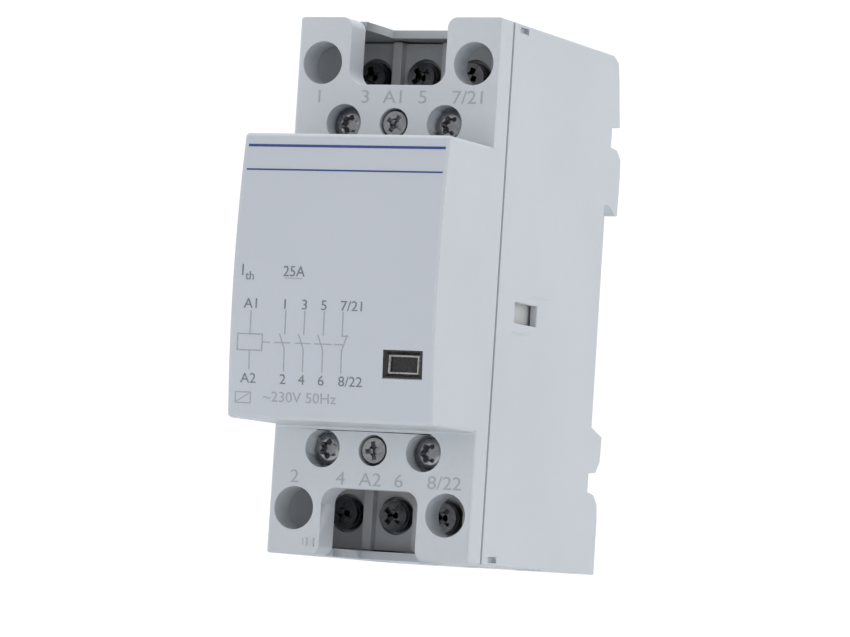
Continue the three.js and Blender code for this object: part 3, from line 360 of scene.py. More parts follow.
def merged_copy(node):
    """A CAD node's shape in millimetres, with its triangles joined into flat faces."""
    shape = bmesh.new()
    shape.from_mesh(frame["nodes"][node].data)
    bmesh.ops.transform(shape, matrix=TO_MILLIMETRES, verts=shape.verts)
    bmesh.ops.remove_doubles(shape, verts=shape.verts, dist=MERGE_REACH)
    bmesh.ops.dissolve_limit(shape, angle_limit=FLAT_ENOUGH, verts=shape.verts, edges=shape.edges)
    return shape


SHARP = math.radians(32)
FLAT_SHADED = math.radians(35)
ROOM = 1.3  # length of the shortest neighbour, in widths of the rounding


def roomy(edge, width):
    """True if the edges that meet this one are long enough to be rounded beside it."""
    for vert in edge.verts:
        for other in vert.link_edges:
            if other is not edge and other.calc_length() < ROOM * width:
                return False
    return True


def soften(shape, width, segments=2, chosen=None):
    """Rounds the sharp edges whose ends pass the test and that have room for it."""
    sharp = [
        edge
        for edge in shape.edges
        if len(edge.link_faces) == 2
        and edge.calc_face_angle(0) > SHARP
        and (chosen is None or chosen(*(v.co for v in edge.verts)))
        and roomy(edge, width)
    ]
    if sharp:
        bmesh.ops.bevel(
            shape,
            geom=sharp,
            offset=width,
            offset_type="OFFSET",
            segments=segments,
            profile=0.5,
            affect="EDGES",
            clamp_overlap=True,
            loop_slide=True,
        )


def mesh_of(shape, name):
    """Ends a shape's editing and gives its mesh."""
    mesh = bpy.data.meshes.new(name)
    shape.to_mesh(mesh)
    shape.free()
    return mesh


def smooth_mesh(shape, name):
    """A finished mesh: flat faces stay flat and rounded edges shade smoothly."""
    for face in shape.faces:
        face.smooth = True
    mesh = mesh_of(shape, name)
    mesh.set_sharp_from_angle(angle=FLAT_SHADED)
    return evaluated(mesh, name, weigh_normals)


def weigh_normals(holder):
    """Weighs normals by face area, so that a rounded edge doesn't shade the flats beside it."""
    modifier = holder.modifiers.new("weigh", "WEIGHTED_NORMAL")
    modifier.weight = 100
    modifier.keep_sharp = True


def evaluated(mesh, name, step):
    """The mesh after the modifier that a step adds to its holder."""
    holder = bpy.data.objects.new(name + "_holder", mesh)
    bpy.context.scene.collection.objects.link(holder)
    step(holder)
    return taken_from(holder, name)


def taken_from(holder, name):
    """The finished mesh of an object, which is then removed."""
    graph = bpy.context.evaluated_depsgraph_get()
    mesh = bpy.data.meshes.new_from_object(holder.evaluated_get(graph))
    bpy.data.objects.remove(holder)
    mesh.name = name
    return mesh


def standing_for(node, shape, suffix="_moulding"):
    """A finished shape that takes the place of a CAD node."""
    name = node + suffix
    slot = SLOT_OF[node]
    piece(name, smooth_mesh(shape, name), [FINISH_OF_SLOT[slot]], body_of(node), [node])


def softened_node(node, width):
    """A CAD node with rounded edges."""
    shape = merged_copy(node)
    soften(shape, width)
    standing_for(node, shape)


for node_name, cad_node in frame["nodes"].items():
    cad_node.data.materials.clear()
    cad_node.data.materials.append(FINISH_OF_SLOT[SLOT_OF[node_name]])


def near(value, target, reach=0.03):
    """True for two places that are the same but for rounding."""
    return abs(value - target) < reach


def on_outside(a, b):
    """True for an edge that lies on two outer faces of the case or of its raised middle."""
    shared = 0
    for plane in (
        lambda p: near(abs(p.x), HALF_WIDTH),
        lambda p: near(abs(p.z), HALF_HEIGHT),
        lambda p: near(abs(p.z), NOSE_HALF_HEIGHT) and p.y < SHOULDER_Y + 0.1,
        lambda p: near(p.y, NOSE_Y - bow(p.z)) and abs(p.z) < NOSE_HALF_HEIGHT + 0.1,
        lambda p: near(p.y, SHOULDER_Y),
    ):
        shared += plane(a) and plane(b)
    return shared >= 2


# ---- Shapes made by rule ----

ORDER = Vector((1.0, 31.7, 977.3))  # uneven weights, so that no two places rank the same


def put_in_order(shape):
    """Ranks points, edges and faces by place, so that merging gives the same mesh each time."""
    shape.verts.sort(key=lambda vert: ORDER.dot(vert.co))
    shape.edges.sort(key=lambda edge: ORDER.dot(edge.verts[0].co + edge.verts[1].co))
    shape.faces.sort(key=lambda face: ORDER.dot(face.calc_center_bounds()))


class Shape:
    """A Geometry Nodes tree being built, with named sizes and short calls that feed it."""

    def __init__(self, name, **sizes):
        self.name = name
        self.tree = bpy.data.node_groups.new(name, "GeometryNodeTree")
        face = self.tree.interface
        face.new_socket("Geometry", in_out="INPUT", socket_type="NodeSocketGeometry")
        face.new_socket("Geometry", in_out="OUTPUT", socket_type="NodeSocketGeometry")
        self.sockets = {}
        for size, value in sizes.items():
            kind = "NodeSocketInt" if isinstance(value, int) else "NodeSocketFloat"
            socket = face.new_socket(size.replace("_", " "), in_out="INPUT", socket_type=kind)
            socket.default_value = value
            self.sockets[size] = socket.identifier
        finish = face.new_socket("finish", in_out="INPUT", socket_type="NodeSocketMaterial")
        self.sockets["finish"] = finish.identifier
        self.given = self.tree.nodes.new("NodeGroupInput")

    def size(self, name):
        return self.given.outputs[name.replace("_", " ")]

    def node(self, kind, *values, settings=None, **named):
        """Adds a node; values feed its sockets in order, and named ones feed them by name."""
        made = self.tree.nodes.new(kind)
        for key, value in (settings or {}).items():
            setattr(made, key, value)
        pairs = [(made.inputs[i], value) for i, value in enumerate(values)]
        pairs += [(made.inputs[key.replace("_", " ")], value) for key, value in named.items()]
        for socket, value in pairs:
            for one in value if isinstance(value, list) else [value]:
                if isinstance(one, bpy.types.NodeSocket):
                    self.tree.links.new(one, socket)
                elif one is not None:
                    socket.default_value = one
        return made.outputs[0]

    def sum(self, operation, *values):
        return self.node("ShaderNodeMath", *values, settings={"operation": operation})

    def ramp(self, value, low, high, start, end, clamp=True):
        return self.node(
            "ShaderNodeMapRange", value, low, high, start, end, settings={"clamp": clamp}
        )

    def place(self):
        """X, Y and Z of each point."""
        apart = self.tree.nodes.new("ShaderNodeSeparateXYZ")
        self.tree.links.new(self.node("GeometryNodeInputPosition"), apart.inputs[0])
        return tuple(apart.outputs)

    def vector(self, x, y, z):
        return self.node("ShaderNodeCombineXYZ", x, y, z)

    def moved(self, geometry, position):
        return self.node("GeometryNodeSetPosition", Geometry=geometry, Position=position)

    def done(self, geometry):
        """Ends the tree with real meshes in the given finish."""
        real = self.node("GeometryNodeRealizeInstances", geometry)
        finished = self.node(
            "GeometryNodeSetMaterial", Geometry=real, Material=self.given.outputs["finish"]
        )
        output = self.tree.nodes.new("NodeGroupOutput")
        self.tree.links.new(finished, output.inputs[0])
        return self

    def mesh(self, name, finish, base=None, smooth=True, **sizes):
        """The tree's closed mesh for these sizes, in millimetres."""

        def grown(holder):
            modifier = holder.modifiers.new(self.name, "NODES")
            modifier.node_group = self.tree
            for size, value in dict(sizes, finish=finish).items():
                modifier[self.sockets[size]] = value

        made = evaluated(base or bpy.data.meshes.new(name), name, grown)
        shape = bmesh.new()
        shape.from_mesh(made)
        put_in_order(shape)
        bmesh.ops.remove_doubles(shape, verts=shape.verts, dist=0.0005)
        bmesh.ops.dissolve_degenerate(shape, edges=shape.edges, dist=0.0002)
        bmesh.ops.recalc_face_normals(shape, faces=shape.faces)
        for face in shape.faces:
            face.smooth = smooth
        shape.to_mesh(made)
        shape.free()
        made.set_sharp_from_angle(angle=SHARP_TOOLED)
        return made


SHARP_TOOLED = math.radians(38)
FULL_TURN = 2 * math.pi
THREAD_OVERLAP = 0.1  # of a thread into its head


def screw_shape():
    """A screw along Z with its head's underside at zero: a head with a lobed recess and a cross
    cut in it, and a rolled thread that tapers at both ends."""
    s = Shape(
        "screw",
        head_radius=2.65,
        head_height=2.4,
        rim=0.08,
        lobes=4,
        recess_radius=1.0,
        recess_swing=0.4,
        recess_depth=1.4,
        cross_width=0.7,
        cross_length=2.9,
        cross_depth=1.3,
        shank_radius=2.0,
        shank_length=7.2,
        pitch=0.7,
        thread_depth=0.35,
        thread_rows=44,
    )
    height = s.size("head_height")
    # Head, with its rim drawn in towards the top
    blank = s.node(
        "GeometryNodeMeshCylinder",
        Vertices=56,
        Side_Segments=8,
        Radius=s.size("head_radius"),
        Depth=height,
    )
    middle = s.vector(0.0, 0.0, s.sum("MULTIPLY", height, 0.5))
    blank = s.node("GeometryNodeTransform", Geometry=blank, Translation=middle)
    x, y, z = s.place()
    up = s.ramp(s.sum("DIVIDE", z, height), 0.5, 1.0, 0.0, 1.0)
    draw = s.sum("SUBTRACT", 1.0, s.sum("MULTIPLY", s.size("rim"), s.sum("POWER", up, 2.0)))
    head = s.moved(blank, s.vector(s.sum("MULTIPLY", x, draw), s.sum("MULTIPLY", y, draw), z))
    # Lobed recess, narrower towards its floor
    depth = s.size("recess_depth")
    drill = s.node("GeometryNodeMeshCylinder", Vertices=64, Side_Segments=1, Radius=1.0, Depth=2.0)
    x, y, z = s.place()
    swing = s.sum("COSINE", s.sum("MULTIPLY", s.sum("ARCTAN2", y, x), s.size("lobes")))
    lobe = s.sum("ADD", 1.0, s.sum("MULTIPLY", swing, s.size("recess_swing")))
    narrow = s.ramp(z, -1.0, 1.0, 0.6, 1.4, clamp=False)
    reach = s.sum("MULTIPLY", s.sum("MULTIPLY", lobe, narrow), s.size("recess_radius"))
    recess = s.moved(
        drill,
        s.vector(
            s.sum("MULTIPLY", x, reach),
            s.sum("MULTIPLY", y, reach),
            s.sum("ADD", height, s.sum("MULTIPLY", z, depth)),
        ),
    )
    # Cross, made of two bars that reach as far above the head as below its top
    bars = []
    top = s.vector(0.0, 0.0, height)
    thick = s.sum("MULTIPLY", s.size("cross_depth"), 2.0)
    for along_x, along_y in (("cross_length", "cross_width"), ("cross_width", "cross_length")):
        bar = s.node("GeometryNodeMeshCube", Size=s.vector(s.size(along_x), s.size(along_y), thick))
        bars.append(s.node("GeometryNodeTransform", Geometry=bar, Translation=top))
    cutter = s.tree.nodes.new("GeometryNodeMeshBoolean")
    cutter.operation = "DIFFERENCE"
    s.tree.links.new(head, cutter.inputs["Mesh 1"])
    for tool in (recess, *bars):
        s.tree.links.new(tool, cutter.inputs["Mesh 2"])
    # Thread: a sheet rolled round Z, its radius following the helix
    length = s.size("shank_length")
    sheet = s.node(
        "GeometryNodeMeshGrid",
        Size_X=FULL_TURN,
        Size_Y=length,
        Vertices_X=25,
        Vertices_Y=s.size("thread_rows"),
    )
    x, y, z = s.place()
    along = s.sum("ADD", y, s.sum("MULTIPLY", length, 0.5))
    turned = s.sum("DIVIDE", x, FULL_TURN)
    turn = s.sum("FRACT", s.sum("ADD", s.sum("DIVIDE", along, s.size("pitch")), turned))
    tooth = s.sum("ABSOLUTE", s.sum("SUBTRACT", s.sum("MULTIPLY", turn, 2.0), 1.0))
    depth = s.sum("MULTIPLY", tooth, s.size("thread_depth"))
    crest = s.sum("SUBTRACT", s.size("shank_radius"), depth)
    near_end = s.sum("MINIMUM", along, s.sum("SUBTRACT", length, along))
    radius = s.sum("MULTIPLY", crest, s.ramp(near_end, 0.0, 0.35, 0.0, 1.0))
    shank = s.moved(
        sheet,
        s.vector(
            s.sum("MULTIPLY", radius, s.sum("COSINE", x)),
            s.sum("MULTIPLY", radius, s.sum("SINE", x)),
            s.sum("SUBTRACT", THREAD_OVERLAP, along),
        ),
    )
    both = s.node("GeometryNodeJoinGeometry", [cutter.outputs[0], shank])
    return s.done(both)


def spring_shape():
    """A compression spring that stands on zero along Z, with one closed turn at each end."""
    s = Shape("spring", coil_radius=2.4, wire=0.5, length=13.0, turns=6.0)
    line = s.node(
        "GeometryNodeCurveSpiral",
        Resolution=28,
        Rotations=s.size("turns"),
        Start_Radius=s.size("coil_radius"),
        End_Radius=s.size("coil_radius"),
        Height=1.0,
    )
    x, y, z = s.place()
    wire, turns = s.size("wire"), s.size("turns")
    turned = s.sum("MULTIPLY", z, turns)
    first = s.ramp(turned, 0.0, 1.0, s.sum("MULTIPLY", wire, 0.5), s.sum("MULTIPLY", wire, 1.5))
    rise = s.sum("SUBTRACT", s.size("length"), s.sum("MULTIPLY", wire, 3.0))
    middle = s.ramp(turned, 1.0, s.sum("SUBTRACT", turns, 1.0), 0.0, rise)
    last = s.ramp(turned, s.sum("SUBTRACT", turns, 1.0), turns, 0.0, wire)
    line = s.moved(line, s.vector(x, y, s.sum("ADD", first, s.sum("ADD", middle, last))))
    thick = s.sum("MULTIPLY", wire, 0.5)
    profile = s.node("GeometryNodeCurvePrimitiveCircle", Resolution=10, Radius=thick)
    return s.done(
        s.node("GeometryNodeCurveToMesh", Curve=line, Profile_Curve=profile, Fill_Caps=True)
    )


def turns_shape():
    """Layers of wire side by side round a coil with rounded corners, stacked along Z."""
    s = Shape("wire_turns", width=26.0, height=26.0, corner=3.0, wire=0.3, count=20, start=0.0)
    loop = s.node(
        "GeometryNodeCurvePrimitiveQuadrilateral", Width=s.size("width"), Height=s.size("height")
    )
    fillet = s.tree.nodes.new("GeometryNodeFilletCurve")
    fillet.mode = "POLY"
    s.tree.links.new(loop, fillet.inputs[0])
    s.tree.links.new(s.size("corner"), fillet.inputs["Radius"])
    fillet.inputs["Count"].default_value = 6
    thick = s.sum("MULTIPLY", s.size("wire"), 0.5)
    profile = s.node("GeometryNodeCurvePrimitiveCircle", Resolution=6, Radius=thick)
    ring = s.node("GeometryNodeCurveToMesh", Curve=fillet.outputs[0], Profile_Curve=profile)
    stack = s.node(
        "GeometryNodeMeshLine",
        Count=s.size("count"),
        Start_Location=s.vector(0.0, 0.0, s.size("start")),
        Offset=s.vector(0.0, 0.0, s.size("wire")),
    )
    return s.done(s.node("GeometryNodeInstanceOnPoints", Points=stack, Instance=ring))


def stack_shape():
    """Copies of a flat outline in the plane of Y and Z, given a thickness and stacked along X."""
    s = Shape("sheet_stack", thickness=0.5, spacing=0.52, count=10, start=-7.5)
    outline = s.given.outputs["Geometry"]
    raised = s.node(
        "GeometryNodeExtrudeMesh",
        Mesh=outline,
        Offset=s.vector(s.size("thickness"), 0.0, 0.0),
        Individual=False,
    )
    flipped = s.node("GeometryNodeFlipFaces", outline)
    sheet = s.node("GeometryNodeJoinGeometry", [raised, flipped])
    row = s.node(
        "GeometryNodeMeshLine",
        Count=s.size("count"),
        Start_Location=s.vector(s.size("start"), 0.0, 0.0),
        Offset=s.vector(s.size("spacing"), 0.0, 0.0),
    )
    return s.done(s.node("GeometryNodeInstanceOnPoints", Points=row, Instance=sheet))


SCREW = screw_shape()
COILED_SPRING = spring_shape()
WIRE_TURNS = turns_shape()
SHEET_STACK = stack_shape()


# ---- Screws ----

HEAD_PLAY = 0.02  # between a head and the CAD's
ROWS_PER_TURN = 5


def place_screw(node, finish, turn, head_height, shank_radius, **cut):
    """A screw in the place of a CAD node, its recess turned by `turn` degrees."""
    low, high = corners(node)
    shank = high.y - low.y - head_height
    mesh = SCREW.mesh(
        node + "_turned",
        finish,
        head_radius=(high.x - low.x) / 2 - HEAD_PLAY,
        head_height=head_height,
        shank_radius=shank_radius,
        shank_length=shank + THREAD_OVERLAP,
        thread_rows=int(shank / cut["pitch"] * ROWS_PER_TURN) + 1,
        **cut,
    )
    middle = (low + high) / 2
    spot = Matrix.Translation((middle.x, low.y + head_height, middle.z))
    mesh.transform(spot @ FACING_FRONT @ Matrix.Rotation(math.radians(turn), 4, "Z"))
    piece(node + "_turned", mesh, [finish], body_of(node), [node])


# Terminal and coil screws have a cross with a round middle. On the cover screws the cross is so
# small that only the six lobes show.
TERMINAL_CUT = dict(
    rim=0.09,
    lobes=8,
    recess_radius=0.95,
    recess_swing=0.0,
    recess_depth=1.6,
    cross_width=0.95,
    cross_length=3.3,
    cross_depth=1.2,
    pitch=0.7,
    thread_depth=0.38,
)
COIL_CUT = dict(
    rim=0.07,
    lobes=8,
    recess_radius=0.85,
    recess_swing=0.0,
    recess_depth=1.4,
    cross_width=0.75,
    cross_length=2.9,
    cross_depth=0.9,
    pitch=0.5,
    thread_depth=0.28,
)
COVER_CUT = dict(
    rim=0.3,
    lobes=6,
    recess_radius=1.4,
    recess_swing=0.17,
    recess_depth=1.1,
    cross_width=0.3,
    cross_length=0.6,
    cross_depth=0.3,
    pitch=1.1,
    thread_depth=0.4,
)
TERMINAL_TURNS = (12, 78, 35, 141, -18, 52, 105, -40)
COIL_TURNS = (("a1", -32), ("a2", 8))
COVER_TURNS = (("upper_left", 10), ("upper_right", -8), ("lower_left", 24), ("lower_right", 3))
# Terminal screws take the zinc whose darkness is painted shade
for number, turn in enumerate(TERMINAL_TURNS, start=1):
    place_screw(f"terminal_screw_{number}", SHADED_ZINC, turn, 2.4, 2.0, **TERMINAL_CUT)
for letter, turn in COIL_TURNS:
    place_screw(f"coil_screw_{letter}", ZINC, turn, 1.8, 1.5, **COIL_CUT)
for place, turn in COVER_TURNS:
    place_screw(f"cover_screw_{place}", ZINC, turn, 1.6, 1.5, **COVER_CUT)


# ---- Springs ----

CARRIER_TRAVEL = 4.0
BRIDGE_TRAVEL = 1.0
LATCH_TRAVEL = 3.0


def place_spring(node, along, coil_radius, wire, turns, squash=None):
    """A coiled spring in the place of a CAD node; `along` is the axis it stands on. A squash names
    the joint, how far, and which of its ends stays where it is, but nothing here shortens the
    spring: it only gets a mesh of its own."""
    low, high = corners(node)
    axis = "XYZ".index(along)
    length = high[axis] - low[axis]
    mesh = COILED_SPRING.mesh(
        node + "_coiled",
        SPRING,
        coil_radius=coil_radius,
        wire=wire,
        length=length,
        turns=float(turns),
    )
    foot = (low + high) / 2
    foot[axis] = low[axis]
    stand = Matrix.Identity(4) if along == "Z" else Matrix.Rotation(math.radians(-90), 4, "X")
    mesh.transform(Matrix.Translation(foot) @ stand)
    made = piece(node + "_coiled", mesh, [SPRING], body_of(node), [node])
    if squash:
        joint, travel, end = squash
        anchor = foot.copy()
        anchor[axis] = high[axis] if end == "far" else low[axis]
        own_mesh(made)


for place in ("upper", "lower"):
    push_forward = ("carrier_slide", CARRIER_TRAVEL, "far")
    place_spring(f"return_spring_{place}", "Y", 2.4, 0.5, 7, push_forward)
for pair in ("1_2", "3_4", "5_6"):
    press_contacts = (f"bridge_{pair}_slide", BRIDGE_TRAVEL, "near")
    place_spring(f"contact_spring_{pair}", "Y", 1.35, 0.4, 5.5, press_contacts)
place_spring("contact_spring_7_8", "Y", 1.35, 0.4, 6)
place_spring("din_latch_spring", "Z", 0.95, 0.35, 7, ("latch_slide", LATCH_TRAVEL, "near"))


# ---- Coil and magnet ----

bobbin_low, bobbin_high = corners("coil_bobbin")
WINDING_INSET = 0.8  # below the flanges' rim
FLANGE = 0.9  # a flange's thickness with the gap beside it
TURN_WIRE = 0.34
winding_size = bobbin_high - bobbin_low - Vector((1, 0, 1)) * (2 * WINDING_INSET + TURN_WIRE * 0.3)
winding_length = bobbin_high.y - bobbin_low.y - 2 * FLANGE
turns_mesh = WIRE_TURNS.mesh(
    "coil_turns",
    WIRE,
    width=winding_size.x,
    height=winding_size.z,
    corner=3.0,
    wire=TURN_WIRE,
    count=int(winding_length / TURN_WIRE),
    start=TURN_WIRE / 2,
)
turns_mesh.transform(Matrix.Translation((0, bobbin_high.y - FLANGE, 0)) @ FACING_FRONT)
piece("coil_turns", turns_mesh, [WIRE], "housing")


def sheet_outline(node):
    """The node's end face as a flat mesh at X zero, facing +X."""
    shape = merged_copy(node)
    end = max(v.co.x for v in shape.verts)
    others = [
        face
        for face in shape.faces
        if face.normal.x < 0.99 or not near(face.calc_center_median().x, end, 0.01)
    ]
    bmesh.ops.delete(shape, geom=others, context="FACES")
    bmesh.ops.translate(shape, verts=shape.verts, vec=(-end, 0, 0))
    bmesh.ops.triangulate(shape, faces=shape.faces)
    return mesh_of(shape, node + "_outline")


SHEET = 0.5
SHEET_GAP = 0.035


def place_stack(node):
    """A pile of magnet sheets in the place of a CAD node."""
    low, high = corners(node)
    count = round((high.x - low.x + SHEET_GAP) / (SHEET + SHEET_GAP))
    spacing = (high.x - low.x + SHEET_GAP) / count
    mesh = SHEET_STACK.mesh(
        node + "_sheets",
        SHEETS,
        base=sheet_outline(node),
        smooth=False,
        thickness=spacing - SHEET_GAP,
        spacing=spacing,
        count=count,
        start=low.x,
    )
    piece(node + "_sheets", mesh, [SHEETS], body_of(node), [node])


place_stack("fixed_core")
place_stack("armature")


# ---- Case ----

OUTER_RADIUS = 0.55
RIM_RADIUS = 0.22
BASE_RADIUS = 0.35
ROUND_STEPS = 3
SHORT_EDGE = 1.5


def on_shoulder(a, b):
    """True for an edge about a hole or notch in the face beside the screws."""
    return near(a.y, SHOULDER_Y, 0.08) and near(b.y, SHOULDER_Y, 0.08)


def on_base_side(a, b):
    """True for a long edge of the base's sides, apart from those at the very back."""
    on_side = near(abs(a.x), HALF_WIDTH) and near(abs(b.x), HALF_WIDTH)
    at_back = near(a.y, b.y) and near(a.y, case_low.y, 0.2)
    return on_side and not at_back and (a - b).length > SHORT_EDGE


cover_shape = merged_copy("front_cover")
soften(cover_shape, OUTER_RADIUS, ROUND_STEPS, on_outside)
soften(cover_shape, RIM_RADIUS, ROUND_STEPS, on_shoulder)
standing_for("front_cover", cover_shape)

base_shape = merged_copy("base_housing")
soften(base_shape, BASE_RADIUS, ROUND_STEPS, on_base_side)
standing_for("base_housing", base_shape)

# The film is a little larger than its recess, so that no gap shows about it
label_shape = merged_copy("front_label")
bmesh.ops.scale(label_shape, vec=(1.008, 1, 1.006), verts=label_shape.verts)
standing_for("front_label", label_shape, "_film")

for place in ("upper", "lower"):
    softened_node(f"terminal_block_{place}", 0.15)
softened_node("contact_carrier", 0.15)
softened_node("din_latch", 0.2)
softened_node("coil_bobbin", 0.2)
softened_node("position_indicator", 0.12)
for number in range(1, 9):
    softened_node(f"terminal_clamp_{number}", 0.12)
    softened_node(f"fixed_contact_{number}", 0.1)
for letter in ("a1", "a2"):
    softened_node(f"coil_clamp_{letter}", 0.1)
    softened_node(f"coil_terminal_{letter}", 0.08)
for pair in ("1_2", "3_4", "5_6", "7_8"):
    softened_node(f"contact_bridge_{pair}", 0.1)


# ---- Print ----

PRINT_RELIEF = 0.035
MARK_RELIEF = 0.09
CAPITAL = 0.73  # height of a capital in a lettering of size one


class Print:
    """Print of one ink on a face that looks to the front. Places are X and Z on that face."""

    def __init__(self, name, ink, face_y, relief=PRINT_RELIEF, bowed=False):
        self.name, self.ink, self.face_y = name, ink, face_y
        self.relief, self.bowed = relief, bowed
        self.shape = bmesh.new()

    def bar(self, x0, z0, x1, z1, width):
        """A straight line between two points."""
        start, end = Vector((x0, 0, z0)), Vector((x1, 0, z1))
        along = end - start
        turn = Matrix.Rotation(math.atan2(-along.z, along.x), 4, "Y")
        size = Matrix.Diagonal((along.length + width, self.relief * 2, width, 1))
        spot = Matrix.Translation((start + end) / 2 + Vector((0, self.face_y, 0)))
        bmesh.ops.create_cube(self.shape, size=1.0, matrix=spot @ turn @ size)

    def run(self, *points, width):
        """A line through several points."""
        for (x0, z0), (x1, z1) in zip(points, points[1:]):
            self.bar(x0, z0, x1, z1, width)

    def frame(self, x0, z0, x1, z1, width):
        """The four sides of a rectangle."""
        self.run((x0, z0), (x1, z0), (x1, z1), (x0, z1), (x0, z0), width=width)

    def words(self, text, x, z, height, squeeze=0.9):
        """Generic lettering centred on a point; `height` is that of a capital."""
        curve = bpy.data.curves.new(self.name + "_words", "FONT")
        curve.body = text
        curve.size = height / CAPITAL
        curve.align_x = "CENTER"
        curve.align_y = "CENTER"
        curve.extrude = self.relief
        curve.resolution_u = 4
        holder = bpy.data.objects.new(self.name + "_words", curve)
        bpy.context.scene.collection.objects.link(holder)
        mesh = taken_from(holder, self.name + "_lettering")
        spot = Matrix.Translation((x, self.face_y, z))
        mesh.transform(spot @ FACING_FRONT @ Matrix.Diagonal((squeeze, 1, 1, 1)))
        self.shape.from_mesh(mesh)
        bpy.data.meshes.remove(mesh)

    def made(self, slot):
        """Ends the print as one piece on the case."""
        if self.bowed:
            for vert in self.shape.verts:
                vert.co.y -= bow(vert.co.z)
        bmesh.ops.remove_doubles(self.shape, verts=self.shape.verts, dist=0.0005)
        bmesh.ops.recalc_face_normals(self.shape, faces=self.shape.faces)
        piece(self.name, mesh_of(self.shape, self.name), [self.ink], "housing")


RULE_INSET = 0.15
THICK_RULE_Z, THICK_RULE = 20.2, 0.42
THIN_RULE_Z, THIN_RULE = 16.42, 0.26

rules = Print("blue_rules", INK_BLUE, NOSE_Y, bowed=True)
for z, width in ((THICK_RULE_Z, THICK_RULE), (THIN_RULE_Z, THIN_RULE)):
    rules.bar(label_low.x + RULE_INSET, z, label_high.x - RULE_INSET, z, width)
rules.made("label")

# Circuit diagram: the coil at the left drives three make contacts and one break contact
NUMBER_HEIGHT = 1.6
NUMBER_WIDTH = 1.08
TOP_ROW, BOTTOM_ROW = -4.55, -16.1
LINE = 0.17
COIL_LEFT, COIL_X, COIL_RIGHT = -16.3, -14.15, -12.0
COIL_TOP, COIL_BOTTOM = -9.22, -11.72
LEAD_TOP, LEAD_BOTTOM = -5.5, -14.7
BLADE_TIP, BLADE_FOOT = -9.1, -11.35
LINK_Z = -10.42
LINK_DASHES = ((-11.9, -10.7), (-9.8, -7.2), (-6.2, -3.6), (-2.8, 0.0), (0.5, 1.9))
MAKE_X = (-8.1, -4.8, -1.45)
BREAK_X = 1.8

numbers = Print("diagram_numbers", INK_GREY, NOSE_Y, bowed=True)
for text, x in (("A1", -14.1), ("1", -8.3), ("3", -4.9), ("5", -1.55), ("7/21", 3.35)):
    numbers.words(text, x, TOP_ROW, NUMBER_HEIGHT, squeeze=NUMBER_WIDTH)
for text, x in (("A2", -14.2), ("2", -8.2), ("4", -4.95), ("6", -1.6), ("8/22", 3.45)):
    numbers.words(text, x, BOTTOM_ROW, NUMBER_HEIGHT, squeeze=NUMBER_WIDTH)
numbers.words("I", -16.0, 0.6, 1.85)
numbers.words("th", -14.7, -0.25, 1.35, squeeze=1.05)
numbers.words("25A", -7.1, 0.55, 1.7, squeeze=0.98)
numbers.made("label")

diagram = Print("circuit_diagram", INK_LINE, NOSE_Y, bowed=True)
diagram.frame(COIL_LEFT, COIL_BOTTOM, COIL_RIGHT, COIL_TOP, LINE)
diagram.bar(COIL_X, LEAD_TOP - 0.2, COIL_X, COIL_TOP, LINE)
diagram.bar(COIL_X, COIL_BOTTOM, COIL_X, LEAD_BOTTOM + 0.1, LINE)
for x in MAKE_X:
    diagram.bar(x, LEAD_TOP, x, BLADE_TIP + 0.1, LINE)
    diagram.run((x - 0.9, BLADE_TIP), (x, BLADE_FOOT), (x, LEAD_BOTTOM), width=LINE)
diagram.run((BREAK_X, LEAD_TOP), (BREAK_X, BLADE_TIP), (BREAK_X + 1.0, BLADE_TIP), width=LINE)
diagram.run(
    (BREAK_X + 0.85, BLADE_TIP + 0.1), (BREAK_X, BLADE_FOOT), (BREAK_X, LEAD_BOTTOM), width=LINE
)
for start, end in LINK_DASHES:
    diagram.bar(start, LINK_Z, end, LINK_Z, LINE)
diagram.made("label")

# Voltage beside a crossed box, and the underline of the current above the diagram
BOX_LEFT, BOX_BOTTOM, BOX_RIGHT, BOX_TOP = -16.4, -19.85, -13.75, -18.2
rating = Print("coil_rating", INK_PALE, NOSE_Y, bowed=True)
rating.words("~230V 50Hz", -5.25, -18.85, 1.65, squeeze=1.1)
rating.frame(BOX_LEFT, BOX_BOTTOM, BOX_RIGHT, BOX_TOP, LINE * 0.9)
rating.bar(BOX_LEFT + 0.3, BOX_BOTTOM + 0.25, BOX_RIGHT - 0.35, BOX_TOP - 0.25, LINE * 0.8)
rating.bar(-8.5, -0.45, -5.7, -0.45, LINE * 0.7)
rating.made("label")

# Terminal numbers beside the screws
SHOULDER_TEXT = 2.15
SHOULDER_WIDTH = 1.15
UPPER_TEXT_Z, LOWER_TEXT_Z = 29.8, -30.4
shoulder = Print("terminal_numbers", INK_SHOULDER, SHOULDER_Y)
for text, x in (("1", -13.4), ("3", -5.25), ("A1", -0.2), ("5", 4.8), ("7/21", 12.8)):
    shoulder.words(text, x, UPPER_TEXT_Z, SHOULDER_TEXT, squeeze=SHOULDER_WIDTH)
for text, x in (("2", -13.4), ("4", -5.3), ("A2", -0.1), ("6", 4.85), ("8/22", 12.75)):
    shoulder.words(text, x, LOWER_TEXT_Z, SHOULDER_TEXT, squeeze=SHOULDER_WIDTH)
shoulder.made("housing")

# Small tool marks of the mould: a mark on the lower left post and ribs on the right side
MARK_LEFT, MARK_BOTTOM, MARK_RIGHT, MARK_TOP = -10.5, -41.0, -9.3, -40.0
mark = Print("mould_mark", HOUSING, SHOULDER_Y, MARK_RELIEF)
mark.bar(-11.3, -39.9, -11.3, MARK_BOTTOM, 0.16)
mark.frame(MARK_LEFT, MARK_BOTTOM, MARK_RIGHT, MARK_TOP, 0.14)
mark.bar(MARK_LEFT, -40.5, MARK_RIGHT, -40.5, 0.12)
mark.made("housing")

RIB_STAND, RIB_WIDTH = 0.1, 0.16
SIDE_RIBS = ((-26.0, -19.8, 0.5), (-33.0, -27.0, -5.7))  # where each starts and ends, and its Z


